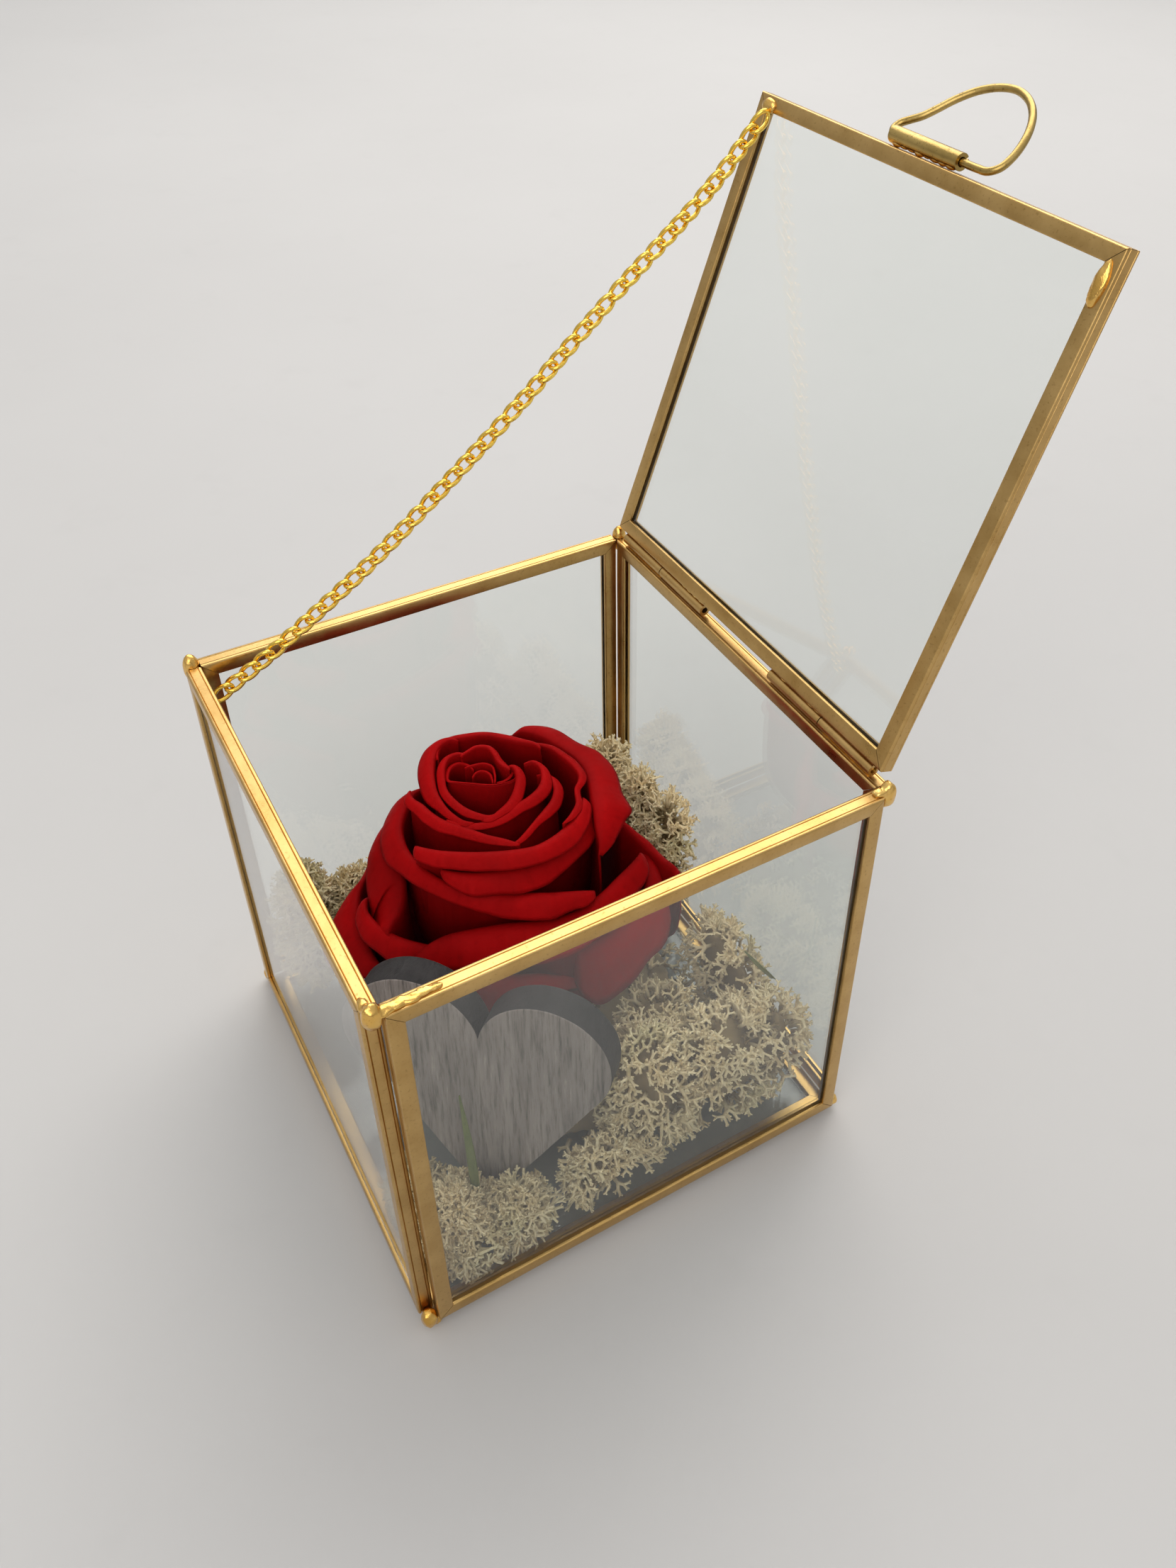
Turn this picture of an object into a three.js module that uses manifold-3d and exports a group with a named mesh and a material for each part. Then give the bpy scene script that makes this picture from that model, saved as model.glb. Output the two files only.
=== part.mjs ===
import * as THREE from 'three';
import { mergeVertices } from 'three/addons/utils/BufferGeometryUtils.js';
import Module from 'manifold-3d';

// Preserved red rose, moss and a wooden heart in a brass-edged glass cube with a hinged lid.
// Millimetres, +Z up. X runs along the hinge, -Y is the front, +Y is the hinge side.

const CUBE = 80;                 // outer size of the closed cube
const PANEL_THICKNESS = 2.5;     // brass channel around each pane
const PANEL = CUBE - 2 * PANEL_THICKNESS;
const CHANNEL_FACE = 2.4;        // width of the channel's face strip
const CHANNEL_WALL = 0.5;
const CHANNEL_EASE = 0.35;       // rounding of the folded edges
const GLASS_THICKNESS = 1.4;
const GLASS_PLAY = 0.05;

const LID_OPEN = THREE.MathUtils.degToRad(109.83);
const HINGE_Y = CUBE / 2 - PANEL_THICKNESS / 2;
const HINGE_Z = CUBE - PANEL_THICKNESS / 2;
const KNUCKLE_RADIUS = 1.0;
const KNUCKLE_BORE = 0.55;
const HINGE_PIN_RADIUS = 0.47;
const PIN_INSET = 0.4;           // from the outer end of the knuckles
const PIN_SETBACKS = [3.2, 1.2]; // the left pin stops short, so that knuckle's bore shows
const OUTER_KNUCKLE = [23.1, 35.4];
const INNER_KNUCKLE = [9.8, 22.9];
const BEAD_INSET = 1.2;          // solder that holds a knuckle or the barrel
const BEAD_WIDTH = 1.2;
const BEAD_HEIGHT = 0.62;

const BARREL_RADIUS = 1.2;
const BARREL_BORE = 0.68;
const BARREL_ENDS = [-7.7, 6.3];
const BARREL_Y = -PANEL / 2 - 1.45;  // with the lid closed
const BARREL_Z = CUBE - PANEL_THICKNESS / 2 + 0.1;
const RING_WIRE_RADIUS = 0.55;
const RING_TILT = THREE.MathUtils.degToRad(38);

const CHAIN_RADIUS = 1.25;

const HEART_CENTRE = new THREE.Vector3(21.5, -20.3, 37.9);
const HEART_TURN = THREE.MathUtils.degToRad(44.6);
const HEART_LEAN = THREE.MathUtils.degToRad(8.0);
const HEART_ROLL = THREE.MathUtils.degToRad(2.2);
const HEART_LOBE_OFFSET = 10.38;
const HEART_LOBE_RADIUS = 10.64;
const HEART_TIP = 34.6;
const HEART_THICKNESS = 5.5;
const HEART_LOBE_STEPS = 16;

const ROSE_AXIS = new THREE.Vector2(-10, -1);
const PETAL_THICKNESS = 0.5;
const CLEARANCE = 0.35;          // gap between pieces that touch in the real box
const BED_FLOOR = PANEL_THICKNESS + 0.25;

const HALF_PANEL = PANEL / 2;
const SETBACK = (CUBE - PANEL_THICKNESS) / 2;  // from the cube's middle to a panel's middle
const INSIDE = HALF_PANEL - CLEARANCE;

// The open lid and its ring lean out behind the cube; this moves the middle of the whole
// footprint onto the origin.
const FOOTPRINT_SHIFT_Y = -18.335;

const wasm = await Module();
wasm.setup();

const BRASS = { color: 0xb8924a, roughness: 0.38, metalness: 1.0 };
const SOLDER = { color: 0xd8a94e, roughness: 0.32, metalness: 1.0 };
const GILT = { color: 0xe0b445, roughness: 0.22, metalness: 1.0 };
const GLASS = { color: 0xdfe8e2, roughness: 0.03, metalness: 0.0, transparent: true, opacity: 0.25 };
const PETAL = { color: 0xa00a0f, roughness: 0.8, metalness: 0.0 };
const CALYX = { color: 0x4e5a2c, roughness: 0.8, metalness: 0.0 };
const WOOD = { color: 0x6d6760, roughness: 0.85, metalness: 0.0 };
const MOSS = { color: 0xcdc2a6, roughness: 0.95, metalness: 0.0 };
const BLADE = { color: 0x7c8046, roughness: 0.6, metalness: 0.0 };

// Solids, meshes and joins

function solidOf(geometry) {
  const plain = geometry.clone();
  for (const name of ['normal', 'uv']) {
    if (plain.getAttribute(name)) plain.deleteAttribute(name);
  }
  const merged = mergeVertices(plain, 1e-4);
  return new wasm.Manifold(new wasm.Mesh({
    numProp: 3,
    vertProperties: new Float32Array(merged.getAttribute('position').array),
    triVerts: new Uint32Array(merged.index.array),
  }));
}

function geometryOf(solid) {
  const mesh = solid.getMesh();
  const geometry = new THREE.BufferGeometry();
  const corners = new Float32Array(mesh.vertProperties);
  geometry.setAttribute('position', new THREE.BufferAttribute(corners, 3));
  geometry.setIndex(new THREE.BufferAttribute(new Uint32Array(mesh.triVerts), 1));
  geometry.computeVertexNormals();
  return geometry;
}

function boxSolid(x0, x1, y0, y1, z0, z1) {
  const box = new THREE.BoxGeometry(x1 - x0, y1 - y0, z1 - z0);
  return solidOf(box.translate((x0 + x1) / 2, (y0 + y1) / 2, (z0 + z1) / 2));
}

function named(name, geometry, finish) {
  const mesh = new THREE.Mesh(geometry, new THREE.MeshStandardMaterial(finish));
  mesh.name = name;
  return mesh;
}

function tubeAlongX(x0, x1, outer, bore) {
  const ring = new THREE.Shape().absarc(0, 0, outer, 0, Math.PI * 2);
  ring.holes.push(new THREE.Path().absarc(0, 0, bore, 0, Math.PI * 2, true));
  const tube = new THREE.ExtrudeGeometry(ring, {
    depth: x1 - x0, bevelEnabled: false, curveSegments: 7,
  });
  return tube.rotateY(Math.PI / 2).translate(x0, 0, 0);
}

// An ellipsoid with a lumpy surface.
function lump(centre, radii, roughness, seed, detail = 2) {
  const geometry = new THREE.IcosahedronGeometry(1, detail);
  const position = geometry.getAttribute('position');
  const point = new THREE.Vector3();
  for (let i = 0; i < position.count; i += 1) {
    point.fromBufferAttribute(position, i);
    const wave = Math.sin(point.x * 4.1 + seed) * Math.sin(point.y * 3.7 + seed * 1.7)
      + Math.sin(point.z * 4.6 + seed * 2.3);
    point.multiplyScalar(1 + roughness * wave * 0.5);
    position.setXYZ(
      i,
      centre[0] + point.x * radii[0],
      centre[1] + point.y * radii[1],
      centre[2] + point.z * radii[2],
    );
  }
  return solidOf(geometry);
}

function meshFrom(vertices, faces) {
  const corners = vertices.flatMap((vertex) => vertex.toArray());
  const geometry = new THREE.BufferGeometry();
  geometry.setAttribute('position', new THREE.Float32BufferAttribute(corners, 3));
  geometry.setIndex(faces);
  geometry.computeVertexNormals();
  return geometry;
}

function union(solids) {
  return solids.reduce((whole, solid) => whole.add(solid));
}

// Offcuts that a cut leaves beside the piece itself are dropped.
function mainPiece(solid) {
  const pieces = solid.decompose();
  return pieces.reduce((best, piece) => (piece.volume() > best.volume() ? piece : best));
}

// Glass panels

// A square of folded brass channel, lying flat with its middle at the origin.
function channelFrame() {
  const half = HALF_PANEL;
  const inner = half - CHANNEL_FACE;
  const outline = new THREE.Shape();
  outline.moveTo(-half, -half).lineTo(half, -half).lineTo(half, half).lineTo(-half, half);
  outline.closePath();
  const opening = new THREE.Path();
  opening.moveTo(-inner, -inner).lineTo(-inner, inner).lineTo(inner, inner).lineTo(inner, -inner);
  opening.closePath();
  outline.holes.push(opening);
  const bar = new THREE.ExtrudeGeometry(outline, {
    depth: PANEL_THICKNESS - 2 * CHANNEL_EASE,
    bevelEnabled: true,
    bevelThickness: CHANNEL_EASE,
    bevelSize: CHANNEL_EASE,
    bevelOffset: -CHANNEL_EASE,
    bevelSegments: 2,
  });
  bar.translate(0, 0, -PANEL_THICKNESS / 2 + CHANNEL_EASE);
  const slotHalf = half - CHANNEL_WALL;
  const slotHeight = GLASS_THICKNESS / 2 + GLASS_PLAY;
  const slot = boxSolid(-slotHalf, slotHalf, -slotHalf, slotHalf, -slotHeight, slotHeight);
  return geometryOf(solidOf(bar).subtract(slot));
}

function pane() {
  const side = PANEL - 2 * CHANNEL_WALL - 2 * GLASS_PLAY;
  return new THREE.BoxGeometry(side, side, GLASS_THICKNESS);
}

function panelMatrix(axis, angle, x, y, z) {
  const turn = new THREE.Matrix4().makeRotationAxis(axis, angle);
  return new THREE.Matrix4().makeTranslation(x, y, z).multiply(turn);
}

const X_AXIS = new THREE.Vector3(1, 0, 0);
const Y_AXIS = new THREE.Vector3(0, 1, 0);

const PANEL_PLACES = {
  front: panelMatrix(X_AXIS, Math.PI / 2, 0, -SETBACK, CUBE / 2),
  back: panelMatrix(X_AXIS, -Math.PI / 2, 0, SETBACK, CUBE / 2),
  left: panelMatrix(Y_AXIS, -Math.PI / 2, -SETBACK, 0, CUBE / 2),
  right: panelMatrix(Y_AXIS, Math.PI / 2, SETBACK, 0, CUBE / 2),
  bottom: panelMatrix(X_AXIS, Math.PI, 0, 0, PANEL_THICKNESS / 2),
  lid: panelMatrix(X_AXIS, 0, 0, 0, CUBE - PANEL_THICKNESS / 2),
};

// Solder

// The cube's own outline without the frames, the closed lid and everything inside them:
// solder only fills the open corners that are left.
function openCorners() {
  const edge = CUBE / 2;
  const top = CUBE - PANEL_THICKNESS;
  const lidEdge = HALF_PANEL + 0.15;
  const taken = union([
    boxSolid(-HALF_PANEL, HALF_PANEL, -edge, edge, PANEL_THICKNESS, top),
    boxSolid(-edge, edge, -HALF_PANEL, HALF_PANEL, PANEL_THICKNESS, top),
    boxSolid(-HALF_PANEL, HALF_PANEL, -HALF_PANEL, HALF_PANEL, 0, PANEL_THICKNESS),
    boxSolid(-lidEdge, lidEdge, -lidEdge, lidEdge, top, CUBE),
  ]);
  return boxSolid(-edge, edge, -edge, edge, 0.02, CUBE).subtract(taken);
}

const BEAD = { bottom: 1.6, top: CUBE - 3.1 };

// Where each corner's solder sits: the signs of x and y, the corner's height, and its beads,
// each a centre from that corner, three radii and a roughness.
const SOLDER_CORNERS = {
  solder_a_top: [1, -1, BEAD.top, [
    [0, 0, 0, 1.75, 1.75, 2.6, 0.1],
    [-0.1, 1.9, 0.9, 1.05, 2.4, 1.15, 0.2],
    [-0.35, 4.7, 0.85, 0.8, 2.3, 0.9, 0.2],
    [-1.8, -0.1, 0.85, 1.9, 1.0, 0.95, 0.15],
  ]],
  solder_b_top: [-1, -1, BEAD.top, [[0, 0, 0, 1.5, 1.5, 2.7, 0.05]]],
  solder_c_top: [1, 1, BEAD.top, [
    [0, 0, 0, 1.55, 1.55, 2.9, 0.08],
    [0.1, -1.1, 0.9, 0.95, 1.5, 0.9, 0.1],
  ]],
  solder_d_top: [-1, 1, BEAD.top, [[0, 0, 0, 1.5, 1.5, 2.7, 0.05]]],
  solder_a_bottom: [1, -1, BEAD.bottom, [[0, 0, 0.3, 1.65, 1.65, 2.4, 0.12]]],
  solder_b_bottom: [-1, -1, BEAD.bottom, [[0, 0, 0.2, 1.5, 1.5, 2.2, 0.05]]],
  solder_c_bottom: [1, 1, BEAD.bottom, [[0, 0, 0.2, 1.5, 1.5, 2.2, 0.08]]],
  solder_d_bottom: [-1, 1, BEAD.bottom, [[0, 0, 0.2, 1.5, 1.5, 2.2, 0.05]]],
};

function solderCorner(signX, signY, height, beads, seed) {
  const lumps = beads.map(([dx, dy, dz, rx, ry, rz, roughness], index) => lump(
    [signX * (SETBACK + dx), signY * SETBACK + dy, height + dz],
    [rx, ry, rz],
    roughness,
    seed + index * 3.1,
    1,
  ));
  return geometryOf(mainPiece(union(lumps).intersect(openCorners())));
}

// Hinge

// A knuckle's tube with the bead that holds it: on top of the back frame, or on the lid's edge.
function knuckle(x0, x1, attachment) {
  const tube = tubeAlongX(x0, x1, KNUCKLE_RADIUS, KNUCKLE_BORE).translate(0, HINGE_Y, HINGE_Z);
  const reach = PANEL_THICKNESS / 2;
  const start = x0 + BEAD_INSET;
  const end = x1 - BEAD_INSET;
  const half = BEAD_WIDTH / 2;
  const y = HINGE_Y;
  const z = HINGE_Z;
  const bead = attachment === 'box'
    ? boxSolid(start, end, y - half, y + half, z - reach, z - reach + BEAD_HEIGHT)
    : boxSolid(start, end, y - reach, y - reach + BEAD_HEIGHT, z - half, z + half);
  return geometryOf(solidOf(tube).add(bead));
}

function hingePin(x0, x1) {
  return new THREE.CylinderGeometry(HINGE_PIN_RADIUS, HINGE_PIN_RADIUS, x1 - x0, 12)
    .rotateZ(Math.PI / 2)
    .translate((x0 + x1) / 2, HINGE_Y, HINGE_Z);
}

// Handle

function handleBarrel() {
  const [x0, x1] = BARREL_ENDS;
  const half = BEAD_WIDTH / 2;
  const tube = tubeAlongX(x0, x1, BARREL_RADIUS, BARREL_BORE).translate(0, BARREL_Y, BARREL_Z);
  const bead = boxSolid(
    x0 + BEAD_INSET,
    x1 - BEAD_INSET,
    -HALF_PANEL - BEAD_HEIGHT,
    -HALF_PANEL,
    BARREL_Z - half,
    BARREL_Z + half,
  );
  return geometryOf(solidOf(tube).add(bead));
}

// The ring's wire: along the barrel and height over it. Its two ends meet inside the barrel.
const RING_PATH = [
  [-0.6, 0], [2.5, 0], [6.0, 0], [9.2, 0], [11.1, 0.2], [12.2, 1.3], [12.35, 3.2], [11.8, 5.6],
  [10.6, 8.1], [8.7, 10.4], [6.2, 12.1], [3.2, 12.9], [0.3, 12.4], [-2.3, 10.8], [-4.2, 8.4],
  [-5.4, 6.0], [-6.4, 4.2], [-7.6, 3.0], [-8.6, 1.9], [-8.75, 0.75], [-8.0, 0.05], [-6.4, 0],
  [-3.6, 0], [-1.0, 0],
];

function handleRing() {
  const outward = new THREE.Vector3(0, -Math.cos(RING_TILT), Math.sin(RING_TILT));
  const points = RING_PATH.map(([along, over]) => new THREE.Vector3(
    along,
    BARREL_Y + outward.y * over,
    BARREL_Z + outward.z * over,
  ));
  const path = new THREE.CatmullRomCurve3(points, false, 'centripetal');
  const section = new THREE.Shape().absarc(0, 0, RING_WIRE_RADIUS, 0, Math.PI * 2);
  return new THREE.ExtrudeGeometry(section, {
    steps: 52, curveSegments: 4, bevelEnabled: false, extrudePath: path,
  });
}

// Chain

// From the inner face of the front rail to the inner face of the open lid's free corner.
const CHAIN_PATH = [
  [-34.4, -35.85, 73.6], [-34.0, -27.5, 78.4], [-33.8, -19.8, 83.2], [-33.6, -9.6, 89.9],
  [-33.5, 0.3, 97.2], [-33.5, 17.6, 110.7], [-33.5, 34.6, 125.0], [-33.5, 51.9, 138.9],
  [-33.6, 60.6, 147.6],
];

function chainSweep() {
  const path = new THREE.CatmullRomCurve3(CHAIN_PATH.map((p) => new THREE.Vector3(...p)));
  const section = new THREE.Shape().absarc(0, 0, CHAIN_RADIUS, 0, Math.PI * 2);
  return new THREE.ExtrudeGeometry(section, {
    steps: 46, curveSegments: 4, bevelEnabled: false, extrudePath: path,
  });
}

// Wooden heart

// The heart's own directions: across its face, up it, and out of it.
function heartFrame() {
  const across = new THREE.Vector3(Math.cos(HEART_TURN), Math.sin(HEART_TURN), 0);
  const facing = new THREE.Vector3(Math.sin(HEART_TURN), -Math.cos(HEART_TURN), 0);
  const up = new THREE.Vector3(0, 0, 1);
  const normal = facing.clone().multiplyScalar(Math.cos(HEART_LEAN))
    .addScaledVector(up, Math.sin(HEART_LEAN));
  const rise = up.clone().multiplyScalar(Math.cos(HEART_LEAN))
    .addScaledVector(facing, -Math.sin(HEART_LEAN));
  const cosine = Math.cos(HEART_ROLL);
  const sine = Math.sin(HEART_ROLL);
  const u = across.clone().multiplyScalar(cosine).addScaledVector(rise, sine);
  const v = rise.clone().multiplyScalar(cosine).addScaledVector(across, -sine);
  return { u, v, normal };
}

// Two round lobes and the straight sides that run from them to the tip.
function heartOutline(grow = 0) {
  const radius = HEART_LOBE_RADIUS + grow;
  const tip = HEART_TIP + grow * 1.6;
  const notchAngle = Math.PI - Math.acos(HEART_LOBE_OFFSET / radius);
  const span = Math.hypot(HEART_LOBE_OFFSET, tip);
  const toTip = Math.atan2(-tip, -HEART_LOBE_OFFSET);
  const tangent = toTip + Math.acos(radius / span);
  const points = [];
  for (let i = 0; i <= HEART_LOBE_STEPS; i += 1) {
    const angle = notchAngle + (tangent - notchAngle) * (i / HEART_LOBE_STEPS);
    points.push([HEART_LOBE_OFFSET + radius * Math.cos(angle), radius * Math.sin(angle)]);
  }
  points.push([0.5, -tip + 0.9]);
  const left = points.map(([x, y]) => [-x, y]).reverse();
  const outline = points.concat([[0, -tip + 0.45]], left.slice(0, -1));
  return outline.map(([x, y]) => new THREE.Vector2(x, y)).reverse();
}

function heartSolid(grow = 0) {
  const body = new THREE.ExtrudeGeometry(new THREE.Shape(heartOutline(grow)), {
    depth: HEART_THICKNESS + 2 * grow, bevelEnabled: false,
  });
  body.translate(0, 0, -HEART_THICKNESS - grow);
  const { u, v, normal } = heartFrame();
  return body.applyMatrix4(new THREE.Matrix4().makeBasis(u, v, normal).setPosition(HEART_CENTRE));
}

// Rose

// One row per petal, from the inside out: direction and half spread in degrees, radius and
// height of its edge, how far the belly stands out past the edge, how far the edge rolls, and
// how much its right end stands higher than its left.
const PETALS = [
  [-85, 60, 9.4, 60.4, 1.4, 0.5, 0],
  [38, 60, 10.2, 59.4, 1.3, 0.5, 0],
  [156, 58, 11.2, 59.4, 1.3, 0.5, 0],
  [-54, 56, 12.5, 57.6, 1.3, 0.7, 0.5],
  [54, 50, 13.2, 57.0, 1.2, 0.7, 0],
  [-168, 58, 14.2, 56.0, 1.1, 0.8, 0],
  [-16, 64, 15.4, 55.0, 0.9, 1.3, 2.0],
  [100, 52, 16.8, 56.8, 0.8, 1.0, 0],
  [-98, 44, 17.6, 55.4, 0.7, 1.1, 1.0],
  [-2, 54, 18.8, 53.4, 0.6, 1.5, 1.0],
  [82, 42, 20.1, 54.4, 0.5, 1.2, 0],
  [170, 45, 20.8, 47.0, 0.5, 1.2, 0],
  [-66, 44, 21.3, 48.2, 0.3, 1.3, 1.2],
  [-19, 47, 23.3, 50.3, 0.2, 1.5, 0.3],
  [48, 40, 25.0, 40.5, 0.0, 1.4, -0.5],
  [-92, 36, 25.8, 37.0, -1.4, 1.3, 2.4],
  [-22, 42, 27.4, 46.6, -0.6, 0.9, 1.0],
  [58, 32, 31.8, 32.4, -3.4, 0.6, 0],
  [-106, 26, 30.4, 30.0, -3.0, 0.6, 0],
  [26, 32, 30.6, 21.0, -3.0, 0.4, 0],
];

function petalSection(index) {
  const [, , edgeRadius, edgeHeight, belly, roll] = PETALS[index];
  const baseRadius = 2.6 + 0.3 * index;
  const baseHeight = 34 - 1.12 * index;
  const rise = edgeHeight - baseHeight;
  const bellyRadius = edgeRadius + belly;
  return new THREE.CatmullRomCurve3([
    new THREE.Vector3(baseRadius, baseHeight, 0),
    new THREE.Vector3(baseRadius + (bellyRadius - baseRadius) * 0.55, baseHeight + rise * 0.06, 0),
    new THREE.Vector3(bellyRadius - 0.6, baseHeight + rise * 0.32, 0),
    new THREE.Vector3(bellyRadius, baseHeight + rise * 0.66, 0),
    new THREE.Vector3(edgeRadius, edgeHeight - 0.4, 0),
    new THREE.Vector3(edgeRadius + roll * 0.55, edgeHeight + roll * 0.12, 0),
    new THREE.Vector3(edgeRadius + roll, edgeHeight - roll * 0.35, 0),
  ], false, 'centripetal');
}

// A point of petal number index; across runs from -1 to 1 and along from base 0 to edge 1.
function petalPoint(index, section, across, along, target) {
  const [turn, spread, , , , , slant] = PETALS[index];
  const side = Math.abs(across);
  const reach = along * (1 - 0.24 * side ** 3.2);
  const width = 0.42 + 0.58 * Math.sin(Math.min(1, 0.12 + along * 1.15) * Math.PI * 0.5);
  const angle = THREE.MathUtils.degToRad(turn + spread * across * width);
  section.getPoint(reach, target);
  const radius = target.x;
  const height = target.y + slant * across * along;
  return target.set(
    ROSE_AXIS.x + radius * Math.cos(angle),
    ROSE_AXIS.y + radius * Math.sin(angle),
    height,
  );
}

// The direction that a petal's surface faces at a point of it.
function petalNormal(index, section, across, along) {
  const step = 1e-3;
  const at = (a, l) => petalPoint(index, section, a, l, new THREE.Vector3());
  const aside = at(Math.min(1, across + step), along).sub(at(Math.max(-1, across - step), along));
  const ahead = at(across, Math.min(1, along + step)).sub(at(across, Math.max(0, along - step)));
  return aside.cross(ahead).normalize();
}

function petal(index, columns = 8, rows = 7) {
  const section = petalSection(index);
  const half = PETAL_THICKNESS / 2;
  const front = [];
  const back = [];
  for (let row = 0; row <= rows; row += 1) {
    for (let column = 0; column <= columns; column += 1) {
      const across = -1 + (2 * column) / columns;
      const along = row / rows;
      const point = petalPoint(index, section, across, along, new THREE.Vector3());
      const normal = petalNormal(index, section, across, along);
      front.push(point.clone().addScaledVector(normal, half));
      back.push(point.clone().addScaledVector(normal, -half));
    }
  }
  const vertices = front.concat(back);
  const stride = columns + 1;
  const offset = front.length;
  const faces = [];
  const quad = (a, b, c, d) => faces.push(a, b, c, a, c, d);
  for (let row = 0; row < rows; row += 1) {
    for (let column = 0; column < columns; column += 1) {
      const a = row * stride + column;
      quad(a, a + 1, a + 1 + stride, a + stride);
      quad(offset + a + stride, offset + a + 1 + stride, offset + a + 1, offset + a);
    }
  }
  for (let column = 0; column < columns; column += 1) {
    const low = column;
    const high = rows * stride + column;
    quad(offset + low, offset + low + 1, low + 1, low);
    quad(high, high + 1, offset + high + 1, offset + high);
  }
  for (let row = 0; row < rows; row += 1) {
    const left = row * stride;
    const right = left + columns;
    quad(offset + left + stride, offset + left, left, left + stride);
    quad(right + stride, right, offset + right, offset + right + stride);
  }
  return meshFrom(vertices, faces);
}

function aroundRose(profile, segments) {
  const points = profile.map(([radius, height]) => new THREE.Vector2(radius, height));
  return new THREE.LatheGeometry(points, segments)
    .rotateX(Math.PI / 2)
    .translate(ROSE_AXIS.x, ROSE_AXIS.y, 0);
}

function roseCore() {
  return aroundRose([
    [0, 35.5], [2.2, 36.2], [5.6, 40.5], [7.6, 46.5], [8.0, 52.0], [7.2, 57.0], [5.8, 59.8],
    [4.6, 59.4], [4.4, 57.2], [2.6, 57.0], [2.2, 58.6], [0, 58.2],
  ], 18);
}

function receptacle() {
  return aroundRose([
    [0, 8.8], [4.6, 9.2], [8.2, 10.9], [7.9, 11.9], [6.2, 17.0], [4.2, 24.0], [2.4, 31.0],
    [1.6, 34.6], [0, 35.1],
  ], 16);
}

// Moss

// The hollow that the rose and the foot it stands on press into the moss.
function roseSpace() {
  const head = aroundRose([
    [0, 10.4], [26, 10.4], [34.2, 14.2], [34.2, 36], [27, 50], [0, 50],
  ], 24);
  const foot = aroundRose([[0, 8.4], [5.0, 8.8], [8.8, 10.2], [8.8, 11.0], [0, 11.0]], 16);
  return solidOf(head).add(solidOf(foot));
}

// Each clump's lumps: centre, three radii, roughness and seed.
const MOSS_CLUMPS = {
  moss_front: [
    [[29.5, -28.6, 7.0], [8.2, 7.4, 7.6], 0.16, 1.3],
    [[32.2, -20.5, 8.6], [5.4, 6.0, 6.4], 0.2, 2.9],
    [[21.6, -32.6, 6.4], [7.0, 4.6, 5.6], 0.2, 4.2],
    [[30.2, -30.2, 13.0], [5.0, 4.6, 4.6], 0.22, 5.0],
  ],
  moss_right: [
    [[26.0, 6.5, 14.0], [9.6, 10.0, 13.8], 0.18, 7.1],
    [[27.5, 21.0, 14.0], [9.0, 11.5, 12.8], 0.18, 8.4],
    [[29.8, 30.0, 16.0], [6.6, 6.4, 11.4], 0.2, 9.5],
    [[14.0, 31.5, 14.0], [12.0, 5.6, 10.8], 0.18, 10.6],
    [[32.4, -4.2, 8.4], [4.2, 8.8, 6.6], 0.2, 11.9],
    [[0, 2.0, 7.0], [31.0, 31.0, 6.2], 0.08, 12.5],
  ],
  moss_back: [
    [[-31.4, 31.8, 19.0], [5.6, 5.4, 17.6], 0.14, 14.0],
    [[-20.5, 33.4, 19.0], [9.5, 3.8, 17.2], 0.16, 15.2],
    [[-11.2, 34.2, 23.5], [7.4, 3.2, 13.8], 0.1, 16.6],
  ],
  moss_left: [
    [[-31.8, -30.6, 17.8], [5.2, 5.8, 15.6], 0.14, 18.3],
    [[-31.4, -20.5, 15.6], [5.0, 9.0, 12.4], 0.16, 19.4],
  ],
};

function mossClump(name) {
  const lumps = MOSS_CLUMPS[name].map(
    ([centre, radii, roughness, seed]) => lump(centre, radii, roughness, seed),
  );
  return union(lumps).intersect(boxSolid(-INSIDE, INSIDE, -INSIDE, INSIDE, BED_FLOOR, CUBE));
}

// Grass blades

// Each blade: the spine from root to tip, and its width.
const BLADES = {
  grass_blade_front: [
    [[30.2, -26.4, 8.0], [27.4, -25.4, 17.0], [25.2, -24.9, 24.0], [22.9, -24.6, 31.0]],
    1.5,
  ],
  grass_blade_right: [
    [[22.3, 34.8, 21.2], [20.9, 32.3, 25.0], [19.2, 30.4, 28.0]],
    1.2,
  ],
};
const BLADE_THICKNESS = 0.36;

function blade(name, grow = 0) {
  const [spine, width] = BLADES[name];
  const curve = new THREE.CatmullRomCurve3(spine.map((p) => new THREE.Vector3(...p)));
  const { u, normal } = heartFrame();
  const rows = 9;
  const thickness = BLADE_THICKNESS + grow * 2;
  const rings = [];
  for (let row = 0; row <= rows; row += 1) {
    const along = row / rows;
    const middle = curve.getPoint(along);
    const half = (width / 2) * Math.sin(Math.PI * (0.22 + 0.72 * along)) + 0.08 + grow;
    rings.push([
      middle.clone().addScaledVector(u, -half),
      middle.clone().addScaledVector(normal, -thickness / 2),
      middle.clone().addScaledVector(u, half),
      middle.clone().addScaledVector(normal, thickness / 2),
    ]);
  }
  const faces = [];
  for (let row = 0; row < rows; row += 1) {
    for (let side = 0; side < 4; side += 1) {
      const a = row * 4 + side;
      const b = row * 4 + ((side + 1) % 4);
      faces.push(a, b + 4, b, a, a + 4, b + 4);
    }
  }
  const last = rows * 4;
  faces.push(0, 2, 3, 0, 1, 2, last, last + 2, last + 1, last, last + 3, last + 2);
  return meshFrom(rings.flat(), faces);
}

// Assembly

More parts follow.
